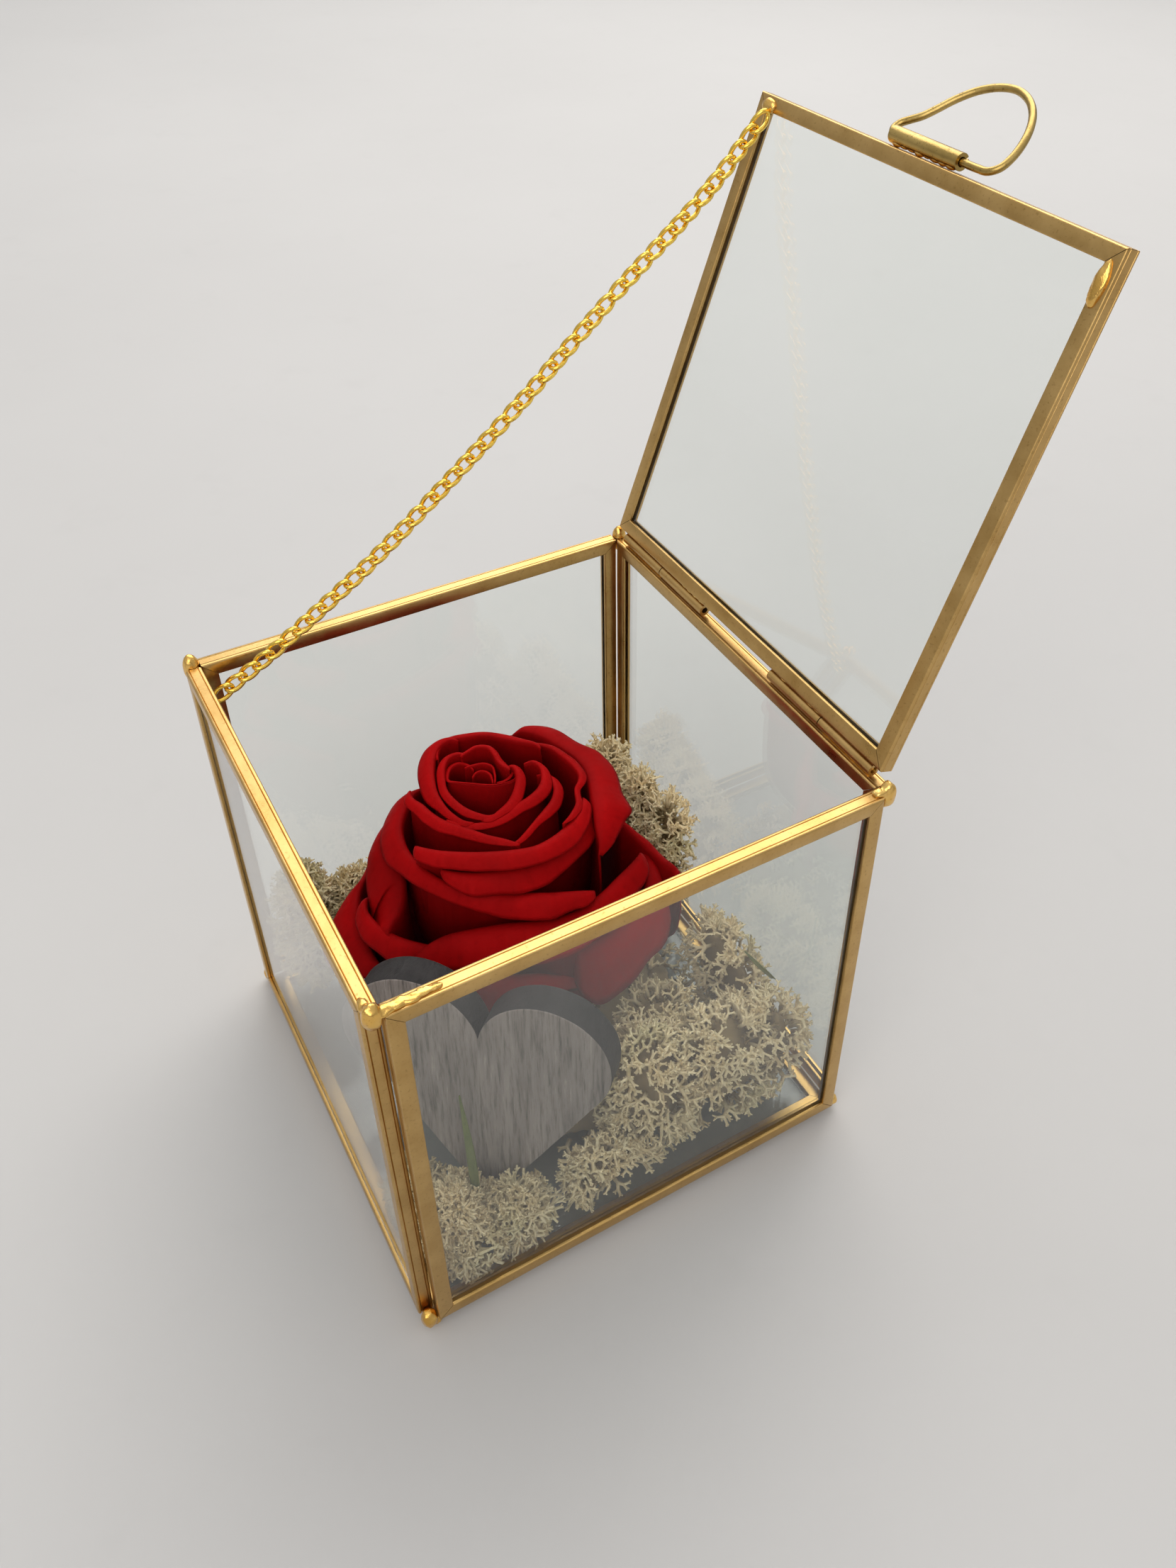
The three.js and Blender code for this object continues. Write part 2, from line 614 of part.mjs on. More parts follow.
function boxGroup() {
  const group = new THREE.Group();
  for (const side of ['front', 'right', 'back', 'left', 'bottom']) {
    const place = PANEL_PLACES[side];
    group.add(named(`frame_${side}`, channelFrame().applyMatrix4(place), BRASS));
    group.add(named(`pane_${side}`, pane().applyMatrix4(place), GLASS));
  }
  Object.entries(SOLDER_CORNERS).forEach(([name, [signX, signY, height, beads]], index) => {
    group.add(named(name, solderCorner(signX, signY, height, beads, index * 5.7 + 1), SOLDER));
  });
  const [outer0, outer1] = OUTER_KNUCKLE;
  group.add(named('hinge_knuckle_box_left', knuckle(-outer1, -outer0, 'box'), BRASS));
  group.add(named('hinge_knuckle_box_right', knuckle(outer0, outer1, 'box'), BRASS));
  const [inner0] = INNER_KNUCKLE;
  const [leftSetback, rightSetback] = PIN_SETBACKS;
  group.add(named('hinge_pin_left', hingePin(-outer1 + PIN_INSET, -inner0 - leftSetback), BRASS));
  group.add(named('hinge_pin_right', hingePin(inner0 + rightSetback, outer1 - PIN_INSET), BRASS));
  group.add(named('chain', chainSweep(), GILT));
  return group;
}

function lidGroup() {
  const lid = new THREE.Group();
  const [inner0, inner1] = INNER_KNUCKLE;
  const pieces = [
    named('frame_lid', channelFrame().applyMatrix4(PANEL_PLACES.lid), BRASS),
    named('pane_lid', pane().applyMatrix4(PANEL_PLACES.lid), GLASS),
    named('hinge_knuckle_lid_left', knuckle(-inner1, -inner0, 'lid'), BRASS),
    named('hinge_knuckle_lid_right', knuckle(inner0, inner1, 'lid'), BRASS),
    named('handle_barrel', handleBarrel(), BRASS),
    named('handle_ring', handleRing(), BRASS),
    named('solder_lid_chain', lidSolder([-34.6, -35.9, 77.2], [1.6, 1.2, 1.0], 3.3), SOLDER),
    named('solder_lid_corner', lidSolder([35.9, -32.6, 77.2], [1.0, 3.0, 0.95], 6.1), SOLDER),
  ];
  for (const piece of pieces) {
    piece.geometry.translate(0, -HINGE_Y, -HINGE_Z);
    lid.add(piece);
  }
  lid.position.set(0, HINGE_Y, HINGE_Z);
  lid.rotation.x = -LID_OPEN;
  return lid;
}

// A bead of solder on the inner face of the lid's channel.
function lidSolder(centre, radii, seed) {
  const face = CUBE - PANEL_THICKNESS;
  const below = boxSolid(-HALF_PANEL, HALF_PANEL, -HALF_PANEL, HALF_PANEL, face - 3, face);
  return geometryOf(lump(centre, radii, 0.12, seed, 1).intersect(below));
}

function rose() {
  const group = new THREE.Group();
  group.add(named('rose_receptacle', receptacle(), CALYX));
  group.add(named('rose_core', roseCore(), PETAL));
  PETALS.forEach((row, index) => {
    const number = String(index + 1).padStart(2, '0');
    group.add(named(`petal_${number}`, petal(index), PETAL));
  });
  return group;
}

function fillings() {
  const group = new THREE.Group();
  group.add(named('wooden_heart', heartSolid(), WOOD));
  const free = union([
    solidOf(heartSolid(CLEARANCE)),
    roseSpace(),
    solidOf(blade('grass_blade_front', CLEARANCE)),
    solidOf(blade('grass_blade_right', CLEARANCE)),
  ]);
  for (const name of Object.keys(MOSS_CLUMPS)) {
    group.add(named(name, geometryOf(mainPiece(mossClump(name).subtract(free))), MOSS));
  }
  for (const name of Object.keys(BLADES)) {
    group.add(named(name, blade(name), BLADE));
  }
  return group;
}

const part = new THREE.Group();
part.add(boxGroup(), lidGroup(), rose(), fillings());
part.position.set(0, FOOTPRINT_SHIFT_Y, 0);

export default part;
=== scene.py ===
"""Preserved red rose in a brass-edged glass cube with its lid held open by a chain.

The scene is in metres. Shapes are worked out in millimetres, with the cube's middle at x = y = 0
and its floor at z = 0, and Workbench.finish takes them into the frame's place and unit.
"""
import logging
import math
import random
from dataclasses import dataclass, field
from enum import Enum
from typing import Callable, Iterable, Sequence

import bmesh
import bpy
from mathutils import Matrix, Vector, noise


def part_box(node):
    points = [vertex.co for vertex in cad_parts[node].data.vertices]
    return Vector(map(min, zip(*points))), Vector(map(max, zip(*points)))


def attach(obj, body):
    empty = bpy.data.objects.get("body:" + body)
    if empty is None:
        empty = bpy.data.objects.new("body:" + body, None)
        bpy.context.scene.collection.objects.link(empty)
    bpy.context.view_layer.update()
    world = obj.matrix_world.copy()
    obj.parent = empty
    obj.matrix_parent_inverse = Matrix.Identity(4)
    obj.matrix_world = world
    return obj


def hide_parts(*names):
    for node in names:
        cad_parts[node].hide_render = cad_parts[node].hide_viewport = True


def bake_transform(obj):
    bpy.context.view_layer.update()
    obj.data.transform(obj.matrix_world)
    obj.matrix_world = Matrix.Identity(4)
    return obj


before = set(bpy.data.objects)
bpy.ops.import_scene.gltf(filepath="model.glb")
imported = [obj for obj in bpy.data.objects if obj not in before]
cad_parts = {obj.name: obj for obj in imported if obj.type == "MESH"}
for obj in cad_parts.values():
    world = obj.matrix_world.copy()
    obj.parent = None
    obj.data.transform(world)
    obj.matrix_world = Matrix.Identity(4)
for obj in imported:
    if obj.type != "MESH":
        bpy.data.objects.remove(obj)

LOG = logging.getLogger("rose_box")
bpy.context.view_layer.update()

MM = 0.001
CUBE = 80.0
PANEL_THICKNESS = 2.5
PANEL = CUBE - 2 * PANEL_THICKNESS
HALF_PANEL = PANEL / 2
SETBACK = (CUBE - PANEL_THICKNESS) / 2
INSIDE = HALF_PANEL - 0.35
FLOOR_GLASS = 2.3
SOLDER_INSET = 1.4
NO_SHARP_EDGES = 180.0

HINGE = Vector((0.0, CUBE / 2 - PANEL_THICKNESS / 2, CUBE - PANEL_THICKNESS / 2))
LID_OPEN = math.radians(109.83)

_low, _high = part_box("frame_bottom")
FOOTPRINT_SHIFT = (_low.y + _high.y) / 2

Row = Sequence[float]
Mesh = bmesh.types.BMesh
Node = bpy.types.Node
Output = bpy.types.NodeSocket
Material = bpy.types.Material


class Body(str, Enum):
    """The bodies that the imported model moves."""

    BOX = "box"
    LID = "lid"
    RING = "ring"


class Side(str, Enum):
    """The six glass panels."""

    FRONT = "front"
    RIGHT = "right"
    BACK = "back"
    LEFT = "left"
    BOTTOM = "bottom"
    LID = "lid"


def panel_place(side: Side) -> Matrix:
    """Gives the turn and place that bring a flat panel at the origin to its side of the cube.

    Args:
        side: The panel.

    Returns:
        A matrix in millimetres. The lid's holds it open, as it rests on its chain.
    """
    quarter = math.pi / 2
    upright = CUBE / 2
    flat = PANEL_THICKNESS / 2
    places = {
        Side.FRONT: Matrix.Translation((0, -SETBACK, upright)) @ Matrix.Rotation(quarter, 4, "X"),
        Side.BACK: Matrix.Translation((0, SETBACK, upright)) @ Matrix.Rotation(-quarter, 4, "X"),
        Side.LEFT: Matrix.Translation((-SETBACK, 0, upright)) @ Matrix.Rotation(-quarter, 4, "Y"),
        Side.RIGHT: Matrix.Translation((SETBACK, 0, upright)) @ Matrix.Rotation(quarter, 4, "Y"),
        Side.BOTTOM: Matrix.Translation((0, 0, flat)) @ Matrix.Rotation(math.pi, 4, "X"),
        Side.LID: lid_turn() @ Matrix.Translation((0, 0, CUBE - flat)),
    }
    return places[side]


def lid_turn() -> Matrix:
    """Gives the turn about the hinge that opens the closed lid, in millimetres."""
    return Matrix.Translation(HINGE) @ Matrix.Rotation(-LID_OPEN, 4, "X") @ Matrix.Translation(-HINGE)


def smooth_path(points: Sequence[Vector], steps: int, closed: bool = False) -> list[Vector]:
    """Runs one smooth curve through given points (a centripetal Catmull-Rom spline).

    Args:
        points: The points that the curve passes.
        steps: How many equal parts of the parameter to cut it into.
        closed: Whether the last point joins the first.

    Returns:
        The points along the curve, the last one included unless it is closed.
    """
    count = len(points)
    spans = count if closed else count - 1
    samples = steps if closed else steps + 1
    return [_spline_point(points, spans * i / steps, closed) for i in range(samples)]


def _spline_point(points: Sequence[Vector], place: float, closed: bool = False) -> Vector:
    """Finds one point of the spline.

    Args:
        points: The points that the curve passes.
        place: The span's number plus how far along that span.
        closed: Whether the last point joins the first.

    Returns:
        The point.
    """
    count = len(points)
    spans = count if closed else count - 1
    span = min(int(place), spans - 1)
    local = place - span

    def at(index: int) -> Vector:
        """Finds a control point, past the ends too.

        Args:
            index: Its number, which may lie one past either end.

        Returns:
            The point.
        """
        if closed:
            return points[index % count]
        if index < 0:
            return points[0] * 2 - points[1]
        if index >= count:
            return points[-1] * 2 - points[-2]
        return points[index]

    p0, p1, p2, p3 = (at(span + offset) for offset in (-1, 0, 1, 2))
    d0 = max((p1 - p0).length ** 0.5, 1e-4)
    d1 = max((p2 - p1).length ** 0.5, 1e-4)
    d2 = max((p3 - p2).length ** 0.5, 1e-4)
    start = ((p1 - p0) / d0 - (p2 - p0) / (d0 + d1) + (p2 - p1) / d1) * d1
    end = ((p2 - p1) / d1 - (p3 - p1) / (d1 + d2) + (p3 - p2) / d2) * d1
    square, cube = local * local, local ** 3
    return (
        p1 * (2 * cube - 3 * square + 1)
        + start * (cube - 2 * square + local)
        + p2 * (3 * square - 2 * cube)
        + end * (cube - square)
    )


def ripple(point: Vector, size: float, seed: float = 0.0) -> float:
    """Gives smooth noise from about -1 to 1 for a place, in ripples of a size, for one of many seeds."""
    return noise.noise(point / size + Vector((seed * 7.31, seed * 3.17, seed * 5.93)))


def swollen_point(centre: Row, radii: Row, way: Vector, swell: float = 1.0) -> Vector:
    """Gives the point of an ellipsoid in a direction, moved out by a factor."""
    return Vector(centre) + Vector(c * r * swell for c, r in zip(way, radii))


@dataclass
class Wire:
    """One strand of round wire or stem: its points and how thick it is at each."""

    points: list[Vector]
    radii: list[float]


def wires_to_bmesh(wires: Iterable[Wire], sides: int = 0, closed: bool = False, caps: bool = True) -> Mesh:
    """Sweeps round sections along strands and joins them in one mesh.

    Args:
        wires: The strands.
        sides: The bevel resolution of the section: 0 gives four sides, 2 gives eight.
        closed: Whether each strand closes on itself.
        caps: Whether open ends are closed.

    Returns:
        The mesh, in millimetres.
    """
    curve = bpy.data.curves.new("wires", "CURVE")
    curve.dimensions = "3D"
    curve.bevel_depth = 1.0
    curve.bevel_resolution = sides
    curve.use_fill_caps = caps and not closed
    for wire in wires:
        spline = curve.splines.new("POLY")
        spline.points.add(len(wire.points) - 1)
        for slot, point, radius in zip(spline.points, wire.points, wire.radii):
            slot.co = (*point, 1.0)
            slot.radius = radius
        spline.use_cyclic_u = closed
    holder = bpy.data.objects.new("wires", curve)
    mesh = holder.to_mesh()
    bm = bmesh.new()
    bm.from_mesh(mesh)
    holder.to_mesh_clear()
    bpy.data.objects.remove(holder)
    bpy.data.curves.remove(curve)
    return bm


@dataclass(frozen=True)
class Socket:
    """One input or output of a shader node group."""

    name: str
    kind: str
    default: object = None


class NodeBoard:
    """A thin helper that adds and links shader nodes in one tree."""

    def __init__(self, tree: bpy.types.NodeTree) -> None:
        """Keeps the tree that nodes are added to."""
        self.tree = tree

    def add(self, kind: str, settings: dict[str, object] | None = None, **inputs: object) -> Node:
        """Adds a node, with its settings and its inputs.

        Args:
            kind: The node's type.
            settings: Attributes of the node itself.
            inputs: Socket names, with underscores for blanks, and a value or an output to link.

        Returns:
            The node.
        """
        node = self.tree.nodes.new(kind)
        for name, value in (settings or {}).items():
            setattr(node, name, value)
        self.fill(node, **inputs)
        return node

    def fill(self, node: Node, **inputs: object) -> None:
        """Sets or links several inputs of a node.

        Args:
            node: The node.
            inputs: Socket names, with underscores for blanks, and a value or an output to link.
        """
        for name, value in inputs.items():
            self.feed(node, name.replace("_", " "), value)

    def feed(self, node: Node, name: str | int, value: object) -> None:
        """Sets or links one input of a node.

        Args:
            node: The node.
            name: The input's name or number.
            value: A value, or an output socket.
        """
        if isinstance(name, str) and name.startswith("in") and name[2:].isdigit():
            name = int(name[2:])
        socket = node.inputs[name]
        if isinstance(value, Output):
            self.tree.links.new(value, socket)
        else:
            socket.default_value = value

    def coordinates(self, scale: Row = (1, 1, 1), turn: Row = (0, 0, 0)) -> Output:
        """Gives Object coordinates in millimetres, stretched and turned.

        Args:
            scale: The stretch along each axis.
            turn: The turn about each axis, in radians.

        Returns:
            The coordinates.
        """
        source = self.add("ShaderNodeTexCoord").outputs["Object"]
        grown = tuple(value / MM for value in scale)
        mapping = self.add("ShaderNodeMapping", Vector=source, Rotation=turn, Scale=grown)
        return mapping.outputs["Vector"]

    def noise(self, vector: Output, scale: object, detail: float, rough: float) -> Output:
        """Adds noise of so many ripples per unit, with its octaves and how strong the fine ones are."""
        node = self.add("ShaderNodeTexNoise", Vector=vector, Scale=scale, Detail=detail, Roughness=rough)
        return node.outputs["Fac"]

    def span(self, value: Output, low: float, high: float, to_low: float = 0.0, to_high: float = 1.0) -> Output:
        """Stretches the values from low to high to those from to_low to to_high, and clamps them."""
        node = self.add("ShaderNodeMapRange", in0=value, in1=low, in2=high, in3=to_low, in4=to_high)
        return node.outputs["Result"]

    def mix(self, factor: object, first: object, second: object) -> Output:
        """Mixes two colours.

        Args:
            factor: How much of the second.
            first: The first colour.
            second: The second colour.

        Returns:
            The mixed colour.
        """
        node = self.add("ShaderNodeMix", {"data_type": "RGBA"})
        self.feed(node, 0, factor)
        self.feed(node, 6, first)
        self.feed(node, 7, second)
        return node.outputs[2]

    def math(self, operation: str, first: object, second: object) -> Output:
        """Does a sum on two values.

        Args:
            operation: The kind of sum.
            first: The first value.
            second: The second value.

        Returns:
            The result.
        """
        node = self.add("ShaderNodeMath", {"operation": operation})
        self.feed(node, 0, first)
        self.feed(node, 1, second)
        return node.outputs[0]

    def bump(self, shader: Node, strength: float, distance: float, height: Output) -> None:
        """Gives a shader's surface a relief, of a strength and of a height in millimetres."""
        relief = self.add("ShaderNodeBump", Strength=strength, Distance=distance * MM, Height=height)
        self.feed(shader, "Normal", relief.outputs["Normal"])


class SharedEffects:
    """Shader node groups that several finishes use, each built once."""

    def __init__(self) -> None:
        """Builds the groups."""
        self.clouding = self._clouding()
        self.grain = self._grain()

    @staticmethod
    def _group(name: str, inputs: Sequence[Socket], outputs: Sequence[Socket]) -> tuple[NodeBoard, Node, Node]:
        """Starts a group with its sockets.

        Args:
            name: The group's name.
            inputs: Its inputs.
            outputs: Its outputs.

        Returns:
            The board, the node that gives the inputs and the node that takes the outputs.
        """
        tree = bpy.data.node_groups.new(name, "ShaderNodeTree")
        for socket in inputs:
            made = tree.interface.new_socket(socket.name, in_out="INPUT", socket_type=socket.kind)
            if socket.default is not None:
                made.default_value = socket.default
        for socket in outputs:
            tree.interface.new_socket(socket.name, in_out="OUTPUT", socket_type=socket.kind)
        board = NodeBoard(tree)
        return board, board.add("NodeGroupInput"), board.add("NodeGroupOutput")

    def _clouding(self) -> bpy.types.NodeTree:
        """Builds soft patches of three tones with fine specks, for metal, petals and moss.

        Returns:
            The group.
        """
        inputs = [
            Socket("Light", "NodeSocketColor", (1, 1, 1, 1)),
            Socket("Middle", "NodeSocketColor", (0.5, 0.5, 0.5, 1)),
            Socket("Dark", "NodeSocketColor", (0, 0, 0, 1)),
            Socket("Patch Scale", "NodeSocketFloat", 0.2),
            Socket("Speck Scale", "NodeSocketFloat", 3.0),
            Socket("Speck Amount", "NodeSocketFloat", 0.5),
        ]
        outputs = [Socket("Color", "NodeSocketColor"), Socket("Mask", "NodeSocketFloat")]
        board, source, target = self._group("clouding", inputs, outputs)
        place = board.coordinates()
        patch = board.noise(place, source.outputs["Patch Scale"], 5.0, 0.6)
        speck = board.noise(place, source.outputs["Speck Scale"], 3.0, 0.7)
        tone = board.span(patch, 0.32, 0.68)
        first = board.mix(tone, source.outputs["Middle"], source.outputs["Light"])
        spots = board.math("MULTIPLY", board.span(speck, 0.58, 0.74), source.outputs["Speck Amount"])
        color = board.mix(spots, first, source.outputs["Dark"])
        board.fill(target, Color=color, Mask=board.math("ADD", board.math("MULTIPLY", tone, 0.6), spots))
        return board.tree

    def _grain(self) -> bpy.types.NodeTree:
        """Builds long fine lines with slower bands, for brushed wood.

        Returns:
            The group.
        """
        inputs = [
            Socket("Vector", "NodeSocketVector"),
            Socket("Fineness", "NodeSocketFloat", 1.0),
            Socket("Stretch", "NodeSocketFloat", 12.0),
        ]
        outputs = [Socket("Lines", "NodeSocketFloat"), Socket("Bands", "NodeSocketFloat")]
        board, source, target = self._group("grain", inputs, outputs)
        split = board.add("ShaderNodeSeparateXYZ", Vector=source.outputs["Vector"])
        along = board.math("DIVIDE", split.outputs["Y"], source.outputs["Stretch"])
        joined = board.add("ShaderNodeCombineXYZ", X=split.outputs["X"], Y=along, Z=split.outputs["Z"])
        lines = board.noise(joined.outputs["Vector"], source.outputs["Fineness"], 6.0, 0.7)
        slow = board.math("MULTIPLY", source.outputs["Fineness"], 0.22)
        bands = board.noise(joined.outputs["Vector"], slow, 3.0, 0.6)
        board.fill(target, Lines=board.span(lines, 0.3, 0.7), Bands=board.span(bands, 0.3, 0.7))
        return board.tree


@dataclass(frozen=True)
class Finish:
    """A material of the object: its name and the tones that it moves between."""

    name: str
    light: Row
    middle: Row
    dark: Row

    def _start(self) -> tuple[Material, NodeBoard, Node]:
        """Makes a material with its shader.

        Returns:
            The material, its board and its Principled BSDF.
        """
        material = bpy.data.materials.new(self.name)
        material.use_nodes = True
        board = NodeBoard(material.node_tree)
        return material, board, material.node_tree.nodes["Principled BSDF"]

    def _cloud(self, board: NodeBoard, effects: SharedEffects, patch: float, speck: float, amount: float) -> Node:
        """Adds the clouding group with this finish's tones.

        Args:
            board: The material's board.
            effects: The shared groups.
            patch: Patches per millimetre.
            speck: Specks per millimetre.
            amount: How dark the specks are, from 0 to 1.

        Returns:
            The group's node.
        """
        tones = {"Light": (*self.light, 1), "Middle": (*self.middle, 1), "Dark": (*self.dark, 1)}
        return board.add(
            "ShaderNodeGroup", {"node_tree": effects.clouding}, **tones,
            Patch_Scale=patch, Speck_Scale=speck, Speck_Amount=amount,
        )


@dataclass(frozen=True)
class BrassFinish(Finish):
    """Brass, from worn strip to polished gilt."""

    roughness: tuple[float, float] = (0.2, 0.42)
    relief: float = 0.25
    specks: float = 0.6

    def make(self, effects: SharedEffects) -> Material:
        """Builds the material.

        Args:
            effects: The shared groups.

        Returns:
            The material.
        """
        material, board, shader = self._start()
        cloud = self._cloud(board, effects, 0.16, 1.9, self.specks)
        rough = board.span(cloud.outputs["Mask"], 0.0, 1.2, *self.roughness)
        board.fill(shader, Base_Color=cloud.outputs["Color"], Metallic=1.0, Roughness=rough)
        dents = board.noise(board.coordinates(), 0.55, 4.0, 0.6)
        scratches = board.noise(board.coordinates((1.0, 9.0, 1.0), (0.2, 0.1, 0.6)), 2.2, 2.0, 0.5)
        height = board.math("ADD", board.math("MULTIPLY", dents, 0.8), board.math("MULTIPLY", scratches, 0.18))
        board.bump(shader, self.relief, 0.25, height)
        return material


@dataclass(frozen=True)
class GlassFinish(Finish):
    """Thin clear glass with a faint green cast and a few faint smears."""

    def make(self, effects: SharedEffects) -> Material:
        """Builds the material.

        Args:
            effects: The shared groups.

        Returns:
            The material.
        """
        material, board, shader = self._start()
        cloud = self._cloud(board, effects, 0.03, 0.4, 0.3)
        smear = board.noise(board.coordinates(), 0.05, 3.0, 0.6)
        rough = board.span(smear, 0.45, 0.8, 0.0, 0.03)
        board.fill(shader, Base_Color=cloud.outputs["Color"], Transmission_Weight=1.0, IOR=1.46, Roughness=rough)
        return material


@dataclass(frozen=True)
class PetalFinish(Finish):
    """Soft velvety petal with faint veins, and painted shade that darkens it towards its foot."""

    def make(self, effects: SharedEffects) -> Material:
        """Builds the material.

        Args:
            effects: The shared groups.

        Returns:
            The material.
        """
        material, board, shader = self._start()
        cloud = self._cloud(board, effects, 0.09, 0.9, 0.25)
        across = board.add("ShaderNodeUVMap", {"uv_map": "UVMap"}).outputs["UV"]
        stretched = board.add("ShaderNodeMapping", Vector=across, Scale=(26.0, 2.2, 1.0)).outputs["Vector"]
        veins = board.noise(stretched, 1.6, 5.0, 0.6)
        up = board.add("ShaderNodeSeparateXYZ", Vector=across).outputs["Y"]
        # Painted shade: the petal's wall darkens towards its foot, deep in the rose where shade falls.
        shade = board.mix(board.span(up, 0.75, 0.2), cloud.outputs["Color"], (*self.dark, 1))
        veined = board.mix(board.span(veins, 0.5, 0.75, 0.0, 0.18), shade, (*self.dark, 1))
        rim = board.mix(board.span(up, 0.975, 1.0, 0.0, 0.35), veined, (*self.dark, 1))
        board.fill(
            shader, Base_Color=rim, Roughness=board.span(veins, 0.2, 0.8, 0.5, 0.72), Specular_IOR_Level=0.04,
            Sheen_Weight=0.03, Sheen_Roughness=0.4, Sheen_Tint=(0.9, 0.02, 0.02, 1),
        )
        fine = board.noise(board.coordinates(), 6.0, 3.0, 0.6)
        soft = board.noise(board.coordinates(), 0.35, 3.0, 0.5)
        height = board.math("ADD", board.math("MULTIPLY", veins, 0.25), board.math("MULTIPLY", fine, 0.15))
        height = board.math("ADD", height, soft)
        board.bump(shader, 0.35, 0.35, height)
        return material


@dataclass(frozen=True)
class WoodFinish(Finish):
    """Brushed stained wood: grain lines along v, on the piece's own UV map in millimetres."""

    contrast: float = 1.0
    roughness: float = 0.8

    def make(self, effects: SharedEffects) -> Material:
        """Builds the material.

        Args:
            effects: The shared groups.

        Returns:
            The material.
        """
        material, board, shader = self._start()
        place = board.add("ShaderNodeUVMap", {"uv_map": "UVMap"}).outputs["UV"]
        grain = board.add(
            "ShaderNodeGroup", {"node_tree": effects.grain}, Vector=place, Fineness=1.5, Stretch=13.0,
        )
        lines = grain.outputs["Lines"]
        base = board.mix(grain.outputs["Bands"], (*self.middle, 1), (*self.light, 1))
        pores = board.math("MULTIPLY", board.span(lines, 0.55, 0.1), 0.75 * self.contrast)
        color = board.mix(pores, base, (*self.dark, 1))
        streaks = board.span(lines, 0.72, 1.0, 0.0, 0.55 * self.contrast)
        worn = board.mix(streaks, color, tuple(min(1.0, 1.7 * value) for value in self.light) + (1,))
        board.fill(shader, Base_Color=worn, Roughness=self.roughness, Specular_IOR_Level=0.3)
        board.bump(shader, 0.7, 0.22, lines)
        return material


@dataclass(frozen=True)
class PlantFinish(Finish):
    """Dry moss, blades and the rose's green base."""

    patch: float = 0.12
    green: Row = (0.42, 0.42, 0.2)
    green_amount: float = 0.0
    shaded_inside: bool = False

    def make(self, effects: SharedEffects) -> Material:
        """Builds the material.

        Args:
            effects: The shared groups.

        Returns:
            The material.
        """
        material, board, shader = self._start()
        cloud = self._cloud(board, effects, self.patch, 0.8, 0.45)
        wide = board.noise(board.coordinates(), 0.07, 2.0, 0.5)
        tint = board.math("MULTIPLY", board.span(wide, 0.56, 0.68), self.green_amount)
        grown = board.mix(tint, cloud.outputs["Color"], (*self.green, 1))
        if self.shaded_inside:
            # Painted shade: the moss darkens deeper inside the clump and on its core, where its strands shade each
            # other.
            outwards = board.add("ShaderNodeAttribute", {"attribute_name": "outwards"}).outputs["Fac"]
            grown = board.mix(board.span(outwards, 0.6, 0.0, 0.0, 0.9), grown, (*self.dark, 1))
        rough = board.span(cloud.outputs["Mask"], 0.0, 1.0, 0.78, 0.95)
        board.fill(shader, Base_Color=grown, Roughness=rough, Specular_IOR_Level=0.25)
        board.bump(shader, 0.3, 0.1, board.noise(board.coordinates(), 5.0, 3.0, 0.6))
        return material


@dataclass(frozen=True)
class FloorFinish(Finish):
    """The plain pale floor."""

    def make(self, effects: SharedEffects) -> Material:
        """Builds the material.

        Args:
            effects: The shared groups.

        Returns:
            The material.
        """
        material, board, shader = self._start()
        cloud = self._cloud(board, effects, 0.004, 0.05, 0.2)
        board.fill(shader, Base_Color=cloud.outputs["Color"], Roughness=0.75)
        return material


class Palette:
    """Every material of the scene."""

    def __init__(self) -> None:
        """Builds the shared groups and the materials."""
        effects = SharedEffects()
        self.brass = BrassFinish(
            "worn_brass", (0.62, 0.405, 0.155), (0.50, 0.305, 0.10), (0.22, 0.12, 0.03),
            (0.27, 0.44), 0.14, 0.5,
        ).make(effects)
        self.old_brass = BrassFinish(
            "tarnished_brass", (0.54, 0.38, 0.13), (0.36, 0.24, 0.07), (0.10, 0.06, 0.02),
            (0.26, 0.5), 0.3, 0.8,
        ).make(effects)
        self.solder = BrassFinish(
            "solder", (0.90, 0.60, 0.20), (0.74, 0.43, 0.10), (0.30, 0.14, 0.03), (0.14, 0.32), 0.4, 0.6,
        ).make(effects)
        self.gilt = BrassFinish(
            "gilt_chain", (0.95, 0.66, 0.13), (0.88, 0.56, 0.08), (0.45, 0.25, 0.03), (0.12, 0.24), 0.05, 0.25,
        ).make(effects)
        self.glass = GlassFinish(
            "clear_glass", (0.955, 0.98, 0.965), (0.94, 0.97, 0.95), (0.92, 0.95, 0.93),
        ).make(effects)
        self.petal = PetalFinish(
            "red_petal", (0.37, 0.002, 0.003), (0.26, 0.0015, 0.002), (0.085, 0.0005, 0.0008),
        ).make(effects)
        self.wood_face = WoodFinish(
            "brushed_wood", (0.40, 0.342, 0.312), (0.26, 0.218, 0.197), (0.055, 0.046, 0.041),
        ).make(effects)
        self.wood_edge = WoodFinish(
            "dark_wood_edge", (0.035, 0.031, 0.031), (0.017, 0.015, 0.015), (0.004, 0.0035, 0.0035), 0.8, 0.6,
        ).make(effects)
        self.moss = PlantFinish(
            "pale_moss", (0.98, 0.86, 0.58), (0.92, 0.75, 0.46), (0.26, 0.18, 0.08), 0.14,
            (0.62, 0.56, 0.27), 0.4, True,
        ).make(effects)
        self.blade = PlantFinish(
            "dried_blade", (0.24, 0.27, 0.10), (0.14, 0.17, 0.06), (0.06, 0.06, 0.02), 0.2,
        ).make(effects)
        self.calyx = PlantFinish(
            "rose_base", (0.16, 0.18, 0.08), (0.09, 0.10, 0.04), (0.03, 0.03, 0.01), 0.2,
        ).make(effects)
        self.floor = FloorFinish(
            "pale_floor", (0.47, 0.46, 0.45), (0.45, 0.44, 0.43), (0.42, 0.41, 0.40),
        ).make(effects)


